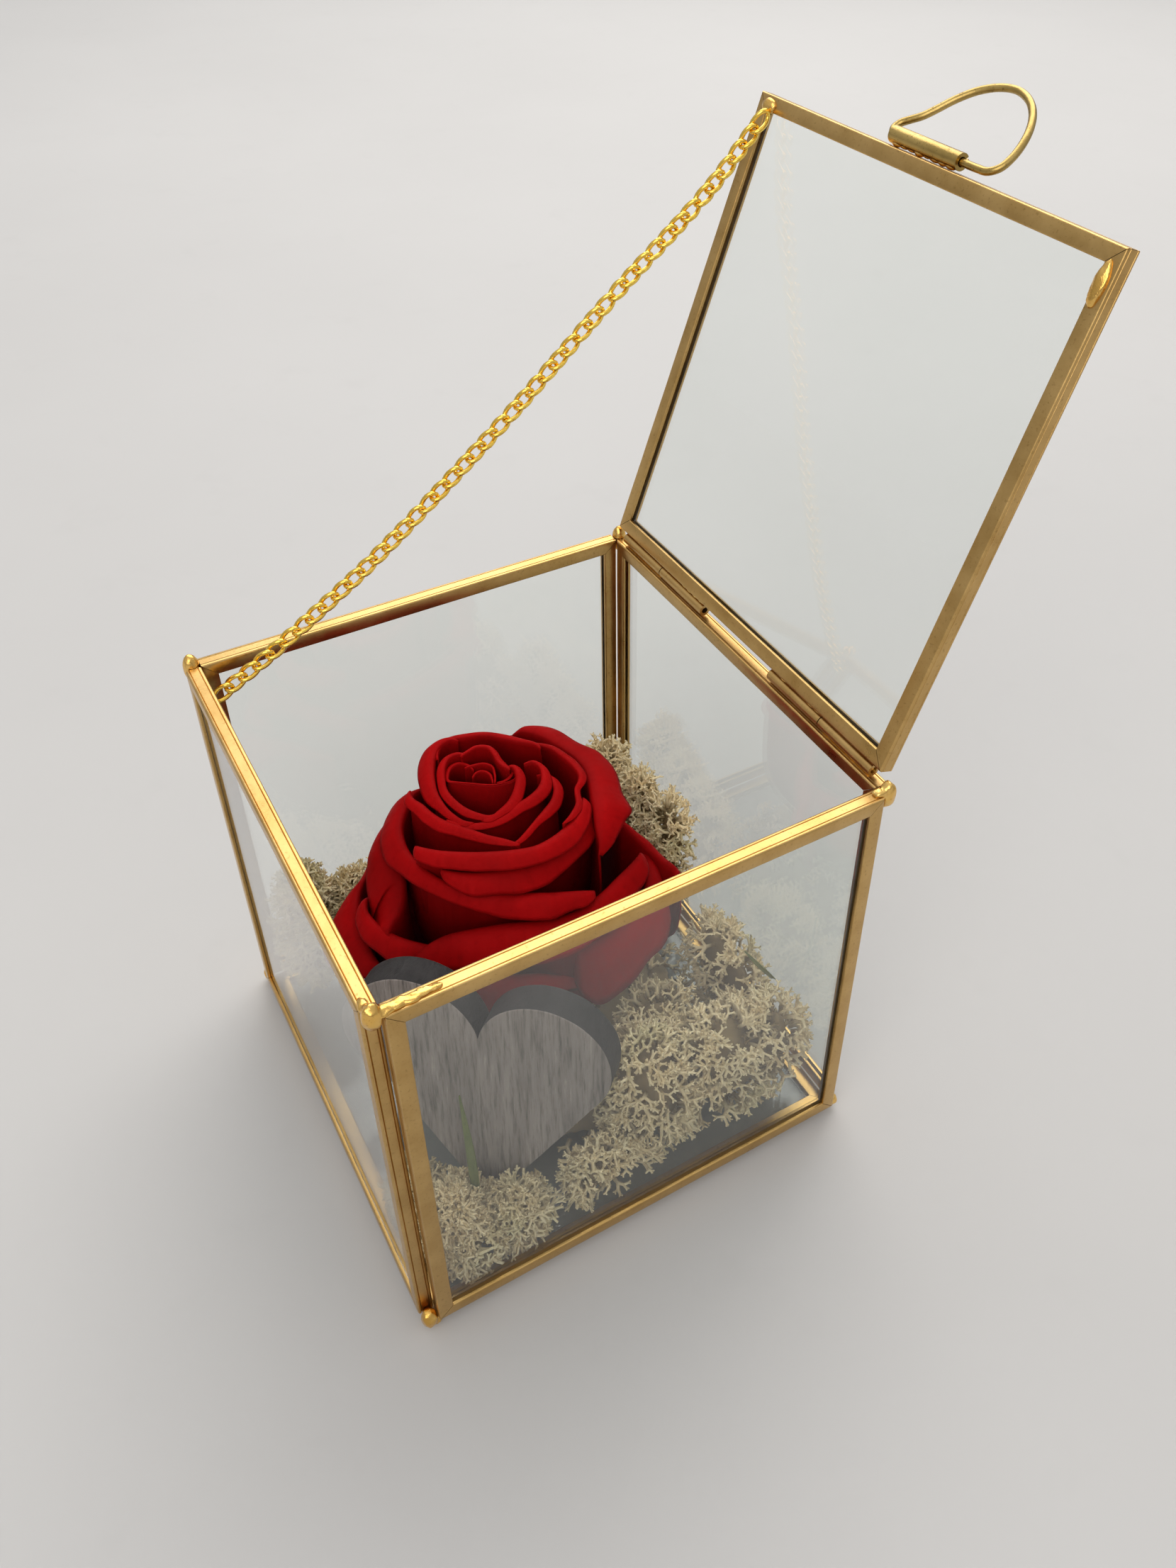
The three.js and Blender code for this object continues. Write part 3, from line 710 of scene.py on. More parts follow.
@dataclass
class Workbench:
    """Takes finished meshes from millimetres to the frame, and says which body each moves with."""

    palette: Palette

    def finish(
        self,
        bm: Mesh,
        name: str,
        materials: Sequence[Material],
        body: Body | None = Body.BOX,
        replaces: Sequence[str] = (),
        sharp: float = 40.0,
    ) -> bpy.types.Object:
        """Makes an object of a mesh.

        Args:
            bm: The mesh in millimetres, which is freed.
            name: The piece's name.
            materials: Its materials, in the order that its faces number them.
            body: The body it rides on, or None for a piece that rides on no body, such as the chain and the floor.
            replaces: The CAD nodes that it stands for.
            sharp: Edges that turn more than this many degrees stay sharp.

        Returns:
            The object.
        """
        mesh = bpy.data.meshes.new(name)
        bm.transform(Matrix.Translation((0, FOOTPRINT_SHIFT, 0)) @ Matrix.Scale(MM, 4))
        bm.to_mesh(mesh)
        bm.free()
        for material in materials:
            mesh.materials.append(material)
        mesh.shade_smooth()
        mesh.set_sharp_from_angle(angle=math.radians(sharp))
        piece = bpy.data.objects.new(name, mesh)
        bpy.context.scene.collection.objects.link(piece)
        if replaces:
            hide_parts(*replaces)
        if body is not None:
            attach(piece, body.value)
        LOG.info("piece %s: %d faces", name, len(mesh.polygons))
        return piece

    def dress(self, nodes: Iterable[str], material: Material) -> None:
        """Gives CAD nodes that stay a material.

        Args:
            nodes: The nodes' names.
            material: The material.
        """
        for node in nodes:
            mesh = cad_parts[node].data
            mesh.materials.clear()
            mesh.materials.append(material)
            LOG.info("dressed %s with %s", node, material.name)


def join(target: Mesh, source: Mesh, material: int = 0) -> None:
    """Adds one mesh to another.

    Args:
        target: The mesh that grows.
        source: The mesh that is added, and freed.
        material: The material number of the added faces.
    """
    for face in source.faces:
        face.material_index = material
    copy = bpy.data.meshes.new("join")
    source.to_mesh(copy)
    source.free()
    target.from_mesh(copy)
    bpy.data.meshes.remove(copy)


def extrude(bm: Mesh, outline: bmesh.types.BMFace, way: Row) -> None:
    """Draws a face out into a closed body.

    Args:
        bm: The mesh of the face.
        outline: The face.
        way: How far and in which direction it is drawn.
    """
    grown = bmesh.ops.extrude_face_region(bm, geom=[outline])["geom"]
    bmesh.ops.translate(bm, vec=way, verts=[v for v in grown if isinstance(v, bmesh.types.BMVert)])
    bmesh.ops.recalc_face_normals(bm, faces=bm.faces)


def cut(bm: Mesh, point: Row, normal: Row, clear: bool = False) -> list[bmesh.types.BMEdge]:
    """Cuts a mesh along a plane.

    Args:
        bm: The mesh.
        point: A point of the plane.
        normal: The plane's normal.
        clear: Whether the side that the normal points to is removed.

    Returns:
        The edges that lie on the cut.
    """
    whole = bm.verts[:] + bm.edges[:] + bm.faces[:]
    made = bmesh.ops.bisect_plane(bm, geom=whole, plane_co=point, plane_no=normal, clear_outer=clear)
    return [part for part in made["geom_cut"] if isinstance(part, bmesh.types.BMEdge)]


def bevel(bm: Mesh, edges: Sequence[bmesh.types.BMEdge], width: float, segments: int) -> None:
    """Rounds edges.

    Args:
        bm: The mesh.
        edges: The edges.
        width: How far from each edge its rounding starts.
        segments: How many faces round it.
    """
    bmesh.ops.bevel(
        bm, geom=edges, offset=width, offset_type="OFFSET", segments=segments,
        profile=0.5, affect="EDGES", material=-1, clamp_overlap=True,
    )


def thicken(piece: bpy.types.Object, thickness: float) -> None:
    """Gives a sheet its thickness, half of it to each side.

    Args:
        piece: The sheet.
        thickness: The thickness, in millimetres.
    """
    shell = piece.modifiers.new("thickness", "SOLIDIFY")
    shell.thickness = thickness * MM
    shell.offset = 0.0


@dataclass
class ChannelFrame:
    """Four mitred bars of folded brass strip around one pane."""

    side: Side
    body: Body
    face: float = 2.4
    wall: float = 0.5
    fold: float = 0.3
    lip: float = 0.2
    gap: float = 0.05
    wave: float = 0.045
    crease_place: float = 0.55
    crease_width: float = 0.1
    crease_depth: float = 0.16
    slices: int = 30
    waves: tuple[float, float] = (9.0, 12.0)

    def build(self, bench: Workbench) -> None:
        """Makes the frame in place of its CAD node.

        Args:
            bench: Where the piece is finished.
        """
        bm = bmesh.new()
        for quarter in range(4):
            join(bm, self._bar(quarter))
        bm.transform(panel_place(self.side))
        node = f"frame_{self.side.value}"
        bench.finish(bm, f"brass_{node}", [bench.palette.brass], self.body, [node])

    def _bar(self, quarter: int) -> Mesh:
        """Makes one bar, with its outer wall on the panel's edge and its open side inwards.

        Args:
            quarter: Which of the four sides it is on.

        Returns:
            The bar's mesh, with the panel flat and its middle at the origin.
        """
        half = HALF_PANEL
        thick = PANEL_THICKNESS / 2
        inner = self.face - half
        crease = thick - self.crease_place
        groove = [
            (-half, crease + self.crease_width), (self.crease_depth - half, crease),
            (-half, crease - self.crease_width),
        ]
        profile = [
            (-half, -thick), (inner, -thick), (inner, -thick + self.wall),
            (self.wall - half, -thick + self.wall), (self.wall - half, thick - self.wall),
            (inner, thick - self.wall), (inner, thick), (-half, thick),
            *groove, *((y, -z) for y, z in reversed(groove)),
        ]
        bm = bmesh.new()
        start = bm.faces.new([bm.verts.new((-half, y, z)) for y, z in profile])
        extrude(bm, start, (PANEL, 0, 0))
        self._round(bm, lambda y, z: y < 0.1 - half and abs(z) > thick - 0.1, self.fold, 4)
        self._round(bm, lambda y, z: abs(y - inner) < 0.05 and abs(z) > thick - 0.1, self.lip, 3)
        for sign in (-1, 1):
            self._mitre(bm, sign)
        for step in range(1, self.slices):
            cut(bm, (-half + PANEL * step / self.slices, 0, 0), (1, 0, 0))
        seed = quarter * 3.7 + list(Side).index(self.side)
        for vert in bm.verts:
            outward = max(0.0, (abs(vert.co.z) - 0.8) / 0.45)
            swell = self.wave * outward * ripple(Vector((vert.co.x, 0, 0)), self.waves[0], seed)
            vert.co.z += swell * math.copysign(1, vert.co.z)
            vert.co.y += 0.6 * self.wave * ripple(Vector((vert.co.x, 5, 0)), self.waves[1], seed + 1.3)
        bm.transform(Matrix.Rotation(quarter * math.pi / 2, 4, "Z"))
        return bm

    @staticmethod
    def _round(bm: Mesh, wanted: Callable[[float, float], bool], width: float, segments: int) -> None:
        """Rounds the long edges that a test picks.

        Args:
            bm: The bar's mesh.
            wanted: Tells from y and z whether an edge is rounded.
            width: The bevel's width.
            segments: The bevel's segments.
        """
        edges = [
            edge for edge in bm.edges
            if abs(edge.verts[0].co.x - edge.verts[1].co.x) > 1 and all(wanted(v.co.y, v.co.z) for v in edge.verts)
        ]
        bevel(bm, edges, width, segments)

    def _mitre(self, bm: Mesh, sign: int) -> None:
        """Cuts one end at 45 degrees and closes it.

        Args:
            bm: The bar's mesh.
            sign: 1 for the end at +x, -1 for the end at -x.
        """
        corner = Vector((sign * (HALF_PANEL - self.gap), -HALF_PANEL, 0))
        rim = cut(bm, corner, Vector((sign, 1, 0)).normalized(), clear=True)
        bmesh.ops.contextual_create(bm, geom=rim)
        bmesh.ops.recalc_face_normals(bm, faces=bm.faces)


@dataclass(frozen=True)
class Bead:
    """One drop of solder: its centre, its three radii and how lumpy it is, in millimetres."""

    centre: Row
    radii: Row
    lumpiness: float = 0.12


@dataclass
class Solder:
    """A run of solder that melts several beads into one skin."""

    node: str
    beads: Sequence[Bead]
    seed: float
    body: Body = Body.BOX
    turn: Matrix = field(default_factory=Matrix)
    grid: float = 0.16

    def build(self, bench: Workbench) -> None:
        """Makes the solder in place of its CAD node.

        Args:
            bench: Where the piece is finished.
        """
        bm = bmesh.new()
        for number, bead in enumerate(self.beads):
            made = bmesh.ops.create_icosphere(bm, subdivisions=3, radius=1.0)
            seed = self.seed + number * 2.3
            for vert in made["verts"]:
                swell = 1 + bead.lumpiness * (ripple(vert.co, 0.55, seed) + 0.5 * ripple(vert.co, 0.25, seed))
                vert.co = swollen_point(bead.centre, bead.radii, vert.co, swell)
        fused = fuse(bm, self.grid)
        fused.transform(self.turn)
        bench.finish(
            fused, f"{self.node}_run", [bench.palette.solder], self.body, [self.node], NO_SHARP_EDGES,
        )


def fuse(bm: Mesh, grid: float) -> Mesh:
    """Melts overlapping closed shapes into one smooth skin.

    Args:
        bm: The shapes, in millimetres. The mesh is freed.
        grid: The size of the voxels that the skin is made on.

    Returns:
        The skin.
    """
    mesh = bpy.data.meshes.new("fuse")
    bm.to_mesh(mesh)
    bm.free()
    holder = bpy.data.objects.new("fuse", mesh)
    bpy.context.scene.collection.objects.link(holder)
    remesh = holder.modifiers.new("remesh", "REMESH")
    remesh.mode = "VOXEL"
    remesh.voxel_size = grid
    evaluated = holder.evaluated_get(bpy.context.evaluated_depsgraph_get())
    skin = bmesh.new()
    skin.from_mesh(evaluated.to_mesh())
    evaluated.to_mesh_clear()
    bpy.data.objects.remove(holder)
    bpy.data.meshes.remove(mesh)
    for _ in range(2):
        bmesh.ops.smooth_vert(skin, verts=skin.verts, factor=0.5, use_axis_x=True, use_axis_y=True, use_axis_z=True)
    return skin


@dataclass
class RolledTube:
    """A tube rolled from strip, with its open seam, along the x axis."""

    start: float
    end: float
    radius: float
    bore: float
    seam: float
    place: Row
    seam_width: float = 9.0
    segments: int = 40

    def mesh(self, seed: float) -> Mesh:
        """Makes the tube.

        Args:
            seed: Which pattern its small dents follow.

        Returns:
            The mesh, in millimetres, with the seam at the angle self.seam in degrees from +y to +z.
        """
        bm = bmesh.new()
        first = math.radians(self.seam + self.seam_width / 2)
        turn = math.radians(360 - self.seam_width)
        direction = Vector((0, math.cos(first), math.sin(first)))
        corners = (
            (self.start, self.bore), (self.end, self.bore), (self.end, self.radius), (self.start, self.radius),
        )
        section = bm.faces.new([bm.verts.new(Vector((x, 0, 0)) + direction * r) for x, r in corners])
        bmesh.ops.spin(
            bm, geom=[section, *section.edges, *section.verts], cent=(0, 0, 0), axis=(1, 0, 0),
            angle=turn, steps=self.segments, use_merge=False, use_duplicate=False,
        )
        bmesh.ops.remove_doubles(bm, verts=bm.verts, dist=1e-4)
        bmesh.ops.recalc_face_normals(bm, faces=bm.faces)
        for vert in bm.verts:
            sag = 1 + 0.035 * ripple(Vector((vert.co.x, 0, 0)), 3.0, seed)
            vert.co = Vector((vert.co.x, vert.co.y * sag, vert.co.z * sag)) + Vector(self.place)
        return bm


def bead_row(start: Row, end: Row, count: int, radius: float, seed: int) -> Mesh:
    """Lays a ragged row of solder between two points.

    Args:
        start: The first point.
        end: The last point.
        count: How many beads.
        radius: Their middle radius.
        seed: The number that fixes their sizes.

    Returns:
        The fused row.
    """
    dice = random.Random(seed)
    first, last = Vector(start), Vector(end)
    overlap = 0.8 * (last - first).length / count
    bm = bmesh.new()
    for number in range(count):
        centre = first.lerp(last, number / (count - 1))
        size = radius * dice.uniform(0.7, 1.2)
        made = bmesh.ops.create_icosphere(bm, subdivisions=2, radius=1.0)
        for vert in made["verts"]:
            swell = 1 + 0.15 * ripple(vert.co, 0.5, seed + number)
            vert.co = swollen_point(centre, (max(overlap, size), size, size), vert.co, swell)
    return fuse(bm, 0.14)


@dataclass
class Hinge:
    """Four rolled knuckles on one pin line, with the solder that holds them."""

    radius: float = 1.0
    bore: float = 0.55
    outer: tuple[float, float] = (23.1, 35.4)
    inner: tuple[float, float] = (9.8, 22.9)
    box_seam: float = -100.0
    lid_seam: float = 190.0
    solder_beads: int = 7
    solder_radius: float = 0.55

    def build(self, bench: Workbench) -> None:
        """Makes the knuckles and dresses the pins.

        Args:
            bench: Where the pieces are finished.
        """
        for sign, word in ((-1, "left"), (1, "right")):
            self._knuckle(bench, f"hinge_knuckle_box_{word}", self.outer, sign, Body.BOX)
            self._knuckle(bench, f"hinge_knuckle_lid_{word}", self.inner, sign, Body.LID)
        bench.dress(["hinge_pin_left", "hinge_pin_right"], bench.palette.old_brass)

    def _knuckle(self, bench: Workbench, node: str, reach: tuple[float, float], sign: int, body: Body) -> None:
        """Makes one knuckle.

        Args:
            bench: Where the piece is finished.
            node: The CAD node that it stands for.
            reach: How far from the middle it starts and ends.
            sign: -1 for the left, 1 for the right.
            body: The body it moves with.
        """
        start, end = sorted(sign * value for value in reach)
        on_box = body is Body.BOX
        tube = RolledTube(start, end, self.radius, self.bore, self.box_seam if on_box else self.lid_seam, HINGE)
        bm = tube.mesh(start)
        edge = PANEL_THICKNESS / 2 - 0.3
        foot = (0, 0, -edge) if on_box else (0, -edge, 0)
        a = Vector((start + SOLDER_INSET, 0, 0)) + HINGE + Vector(foot)
        b = Vector((end - SOLDER_INSET, 0, 0)) + HINGE + Vector(foot)
        join(bm, bead_row(a, b, self.solder_beads, self.solder_radius, int(abs(start) * 10)), 1)
        if not on_box:
            bm.transform(lid_turn())
        bench.finish(bm, f"rolled_{node}", [bench.palette.brass, bench.palette.solder], body, [node])


@dataclass
class Handle:
    """The rolled and split barrel on the lid's edge, and the hand-bent wire ring in it."""

    radius: float = 1.2
    bore: float = 0.68
    ends: tuple[float, float] = (-7.7, 6.3)
    wire: float = 0.55
    tilt: float = math.radians(38.0)
    offset: float = 1.45
    seam: float = 128.0
    seam_width: float = 15.0
    solder_beads: int = 8
    solder_radius: float = 0.5
    # Along the barrel and height over it, from inside the barrel round to inside it again.
    route: tuple[tuple[float, float], ...] = (
        (-0.6, 0), (2.5, 0), (6.0, 0), (9.2, 0), (11.1, 0.2), (12.2, 1.3), (12.35, 3.2), (11.8, 5.6),
        (10.6, 8.1), (8.7, 10.4), (6.2, 12.1), (3.2, 12.9), (0.3, 12.4), (-2.3, 10.8), (-4.2, 8.4),
        (-5.4, 6.0), (-6.4, 4.2), (-7.6, 3.0), (-8.6, 1.9), (-8.75, 0.75), (-8.0, 0.05), (-6.4, 0),
        (-3.6, 0), (-1.0, 0),
    )

    @property
    def centre(self) -> Vector:
        """The barrel's axis with the lid closed."""
        return Vector((0, -HALF_PANEL - self.offset, CUBE - PANEL_THICKNESS / 2 + 0.1))

    def build(self, bench: Workbench) -> None:
        """Makes the barrel and the ring.

        Args:
            bench: Where the pieces are finished.
        """
        tube = RolledTube(*self.ends, self.radius, self.bore, self.seam, self.centre, self.seam_width)
        barrel = tube.mesh(4.0)
        foot = self.centre + Vector((0, self.radius * 0.8, -0.2))
        a = foot + Vector((self.ends[0] + SOLDER_INSET, 0, 0))
        b = foot + Vector((self.ends[1] - SOLDER_INSET, 0, 0))
        join(barrel, bead_row(a, b, self.solder_beads, self.solder_radius, 77), 1)
        barrel.transform(lid_turn())
        bench.finish(
            barrel, "rolled_handle_barrel", [bench.palette.old_brass, bench.palette.solder],
            Body.LID, ["handle_barrel"],
        )
        outward = Vector((0, -math.cos(self.tilt), math.sin(self.tilt)))
        points = [self.centre + outward * over + Vector((along, 0, 0)) for along, over in self.route]
        path = smooth_path(points, 150)
        ring = wires_to_bmesh([Wire(path, [self.wire] * len(path))], 4)
        ring.transform(lid_turn())
        bench.finish(ring, "wire_ring", [bench.palette.old_brass], Body.RING, ["handle_ring"])


@dataclass
class Chain:
    """The curb chain: twisted oval links, each through the next."""

    wire: float = 0.37
    half_length: float = 1.78
    half_width: float = 0.92
    twist: float = 0.5
    pitch: float = 2.72
    link_steps: int = 20
    facing: Row = (0.80, -0.36, 0.48)
    # From the inner face of the front rail to the inner face of the open lid's free corner.
    route: tuple[tuple[float, float, float], ...] = (
        (-34.4, -35.85, 73.6), (-34.0, -27.5, 78.4), (-33.8, -19.8, 83.2), (-33.6, -9.6, 89.9),
        (-33.5, 0.3, 97.2), (-33.5, 17.6, 110.7), (-33.5, 34.6, 125.0), (-33.5, 51.9, 138.9),
        (-33.6, 60.6, 147.6),
    )
    hang_share: float = 0.8

    def build(self, bench: Workbench) -> None:
        """Makes the chain.

        Args:
            bench: Where the piece is finished.
        """
        route = [Vector(point) for point in self.route]
        fine = smooth_path(route, 600)
        lengths = [0.0]
        for before, after in zip(fine, fine[1:]):
            lengths.append(lengths[-1] + (after - before).length)
        count = int(lengths[-1] / self.pitch)
        pitch = lengths[-1] / count
        bm = bmesh.new()
        for number in range(count + 1):
            target = min(number * pitch, lengths[-1] - 1e-6)
            index = max(1, next(i for i, value in enumerate(lengths) if value >= target))
            tangent = (fine[index] - fine[index - 1]).normalized()
            flat = Vector(self.facing).cross(tangent).normalized()
            wobble = 0.12 * math.sin(number * 1.9) + 0.1 * math.sin(number * 0.7)
            flat = Matrix.Rotation(wobble, 3, tangent) @ flat
            up = tangent.cross(flat).normalized()
            place = Matrix((tangent, flat, up)).transposed().to_4x4()
            place.translation = fine[index]
            link = self._link()
            link.transform(place)
            join(bm, link)
        piece = bench.finish(bm, "curb_chain", [bench.palette.gilt], None, ["chain"], NO_SHARP_EDGES)
        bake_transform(piece)

    def _link(self) -> Mesh:
        """Makes one link lying along x, with its wire twisted so that links lie flat on each other.

        Returns:
            The link, in millimetres.
        """
        points = []
        for step in range(self.link_steps):
            angle = 2 * math.pi * step / self.link_steps
            points.append(Vector((
                self.half_length * math.cos(angle) * (1 + 0.05 * math.cos(2 * angle)),
                self.half_width * math.sin(angle),
                self.twist * math.sin(2 * angle),
            )))
        return wires_to_bmesh([Wire(points, [self.wire] * len(points))], 2, closed=True)


def piece_point(point: Vector) -> Vector:
    """Takes a point from the cube's millimetres to the frame's metres."""
    return point * MM + Vector((0, FOOTPRINT_SHIFT, 0))


@dataclass
class WoodenHeart:
    """A thick sawn heart that leans in the front right corner on its tip."""

    centre: Row = (21.5, -20.3, 37.9)
    turn: float = math.radians(44.6)
    lean: float = math.radians(8.0)
    roll: float = math.radians(2.2)
    lobe_offset: float = 10.38
    lobe_radius: float = 10.64
    tip: float = 34.6
    thickness: float = 5.5
    lobe_steps: int = 30
    side_steps: int = 14
    saw_cuts: Row = (-0.9, -1.9, -2.8, -3.7, -4.6)
    rim_width: float = 0.28
    rim_segments: int = 3
    flat_from: float = 0.55

    def place(self) -> Matrix:
        """Gives the turn and place that bring the flat heart to where it leans.

        Returns:
            A matrix in millimetres.
        """
        across = Vector((math.cos(self.turn), math.sin(self.turn), 0))
        facing = Vector((math.sin(self.turn), -math.cos(self.turn), 0))
        up = Vector((0, 0, 1))
        normal = facing * math.cos(self.lean) + up * math.sin(self.lean)
        rise = up * math.cos(self.lean) - facing * math.sin(self.lean)
        u = across * math.cos(self.roll) + rise * math.sin(self.roll)
        v = rise * math.cos(self.roll) - across * math.sin(self.roll)
        matrix = Matrix((u, v, normal)).transposed().to_4x4()
        matrix.translation = Vector(self.centre)
        return matrix

    def outline(self) -> list[Vector]:
        """Walks round the heart: two round lobes and the straight sides to the tip.

        Returns:
            The points, in the plane of the heart.
        """
        notch = math.pi - math.acos(self.lobe_offset / self.lobe_radius)
        span = math.hypot(self.lobe_offset, self.tip)
        tangent = math.atan2(-self.tip, -self.lobe_offset) + math.acos(self.lobe_radius / span)
        right = []
        for i in range(self.lobe_steps + 1):
            angle = notch + (tangent - notch) * i / self.lobe_steps
            right.append(Vector((
                self.lobe_offset + self.lobe_radius * math.cos(angle), self.lobe_radius * math.sin(angle), 0,
            )))
        low = Vector((0.5, -self.tip + 0.9, 0))
        side = [right[-1].lerp(low, step / self.side_steps) for step in range(1, self.side_steps + 1)]
        half = right + side
        other = [Vector((-p.x, p.y, 0)) for p in reversed(half)]
        return half + [Vector((0, -self.tip + 0.45, 0))] + other[:-1]

    def build(self, bench: Workbench) -> None:
        """Makes the heart in place of its CAD node.

        Args:
            bench: Where the piece is finished.
        """
        bm = bmesh.new()
        face = bm.faces.new([bm.verts.new(point) for point in reversed(self.outline())])
        if face.normal.z > 0:
            bmesh.ops.reverse_faces(bm, faces=[face])
        extrude(bm, face, (0, 0, -self.thickness))
        for depth in self.saw_cuts:
            cut(bm, (0, 0, depth), (0, 0, 1))
        for vert in bm.verts:
            rough = 0.10 * ripple(vert.co, 1.3, 2.0) + 0.14 * ripple(vert.co, 4.0, 5.0)
            away = Vector((vert.co.x, vert.co.y, 0)).normalized()
            inner = 1.0 if -self.thickness + 0.3 < vert.co.z < -0.3 else 0.35
            vert.co += away * (rough * inner - 0.05)
        rims = [
            edge for edge in bm.edges
            if len(edge.link_faces) == 2 and edge.calc_face_angle() > 1.0
            and abs(edge.verts[0].co.z - edge.verts[1].co.z) < 0.05
            and (edge.verts[0].co.z > -0.1 or edge.verts[0].co.z < 0.1 - self.thickness)
        ]
        bevel(bm, rims, self.rim_width, self.rim_segments)
        layer = bm.loops.layers.uv.new("UVMap")
        for face in bm.faces:
            flat = abs(face.normal.z) > self.flat_from
            face.material_index = 0 if flat else 1
            for loop in face.loops:
                co = loop.vert.co
                around = math.atan2(co.y + 12, co.x) * 16
                loop[layer].uv = (co.x, co.y) if flat else (around, co.z * 3)
        bm.transform(self.place())
        bench.finish(
            bm, "sawn_heart", [bench.palette.wood_face, bench.palette.wood_edge], Body.BOX,
            ["wooden_heart"], 35,
        )


@dataclass(frozen=True)
class PetalShape:
    """One petal of the rose, drawn by the crest where its wall turns into its lip.

    Each point of the crest is its direction about the rose's axis in degrees, its distance from the
    axis, its height, and how far the lip reaches out there, all in millimetres.
    """

    crest: tuple[tuple[float, float, float, float], ...]
    belly: float = 0.5
    droop: float = 25.0
    ruffle: float = 0.3


@dataclass
class PetalColumn:
    """One line of a petal from its foot over its crest to the edge of its lip."""

    foot: Vector
    crest: Vector
    outward: Vector
    lip: float


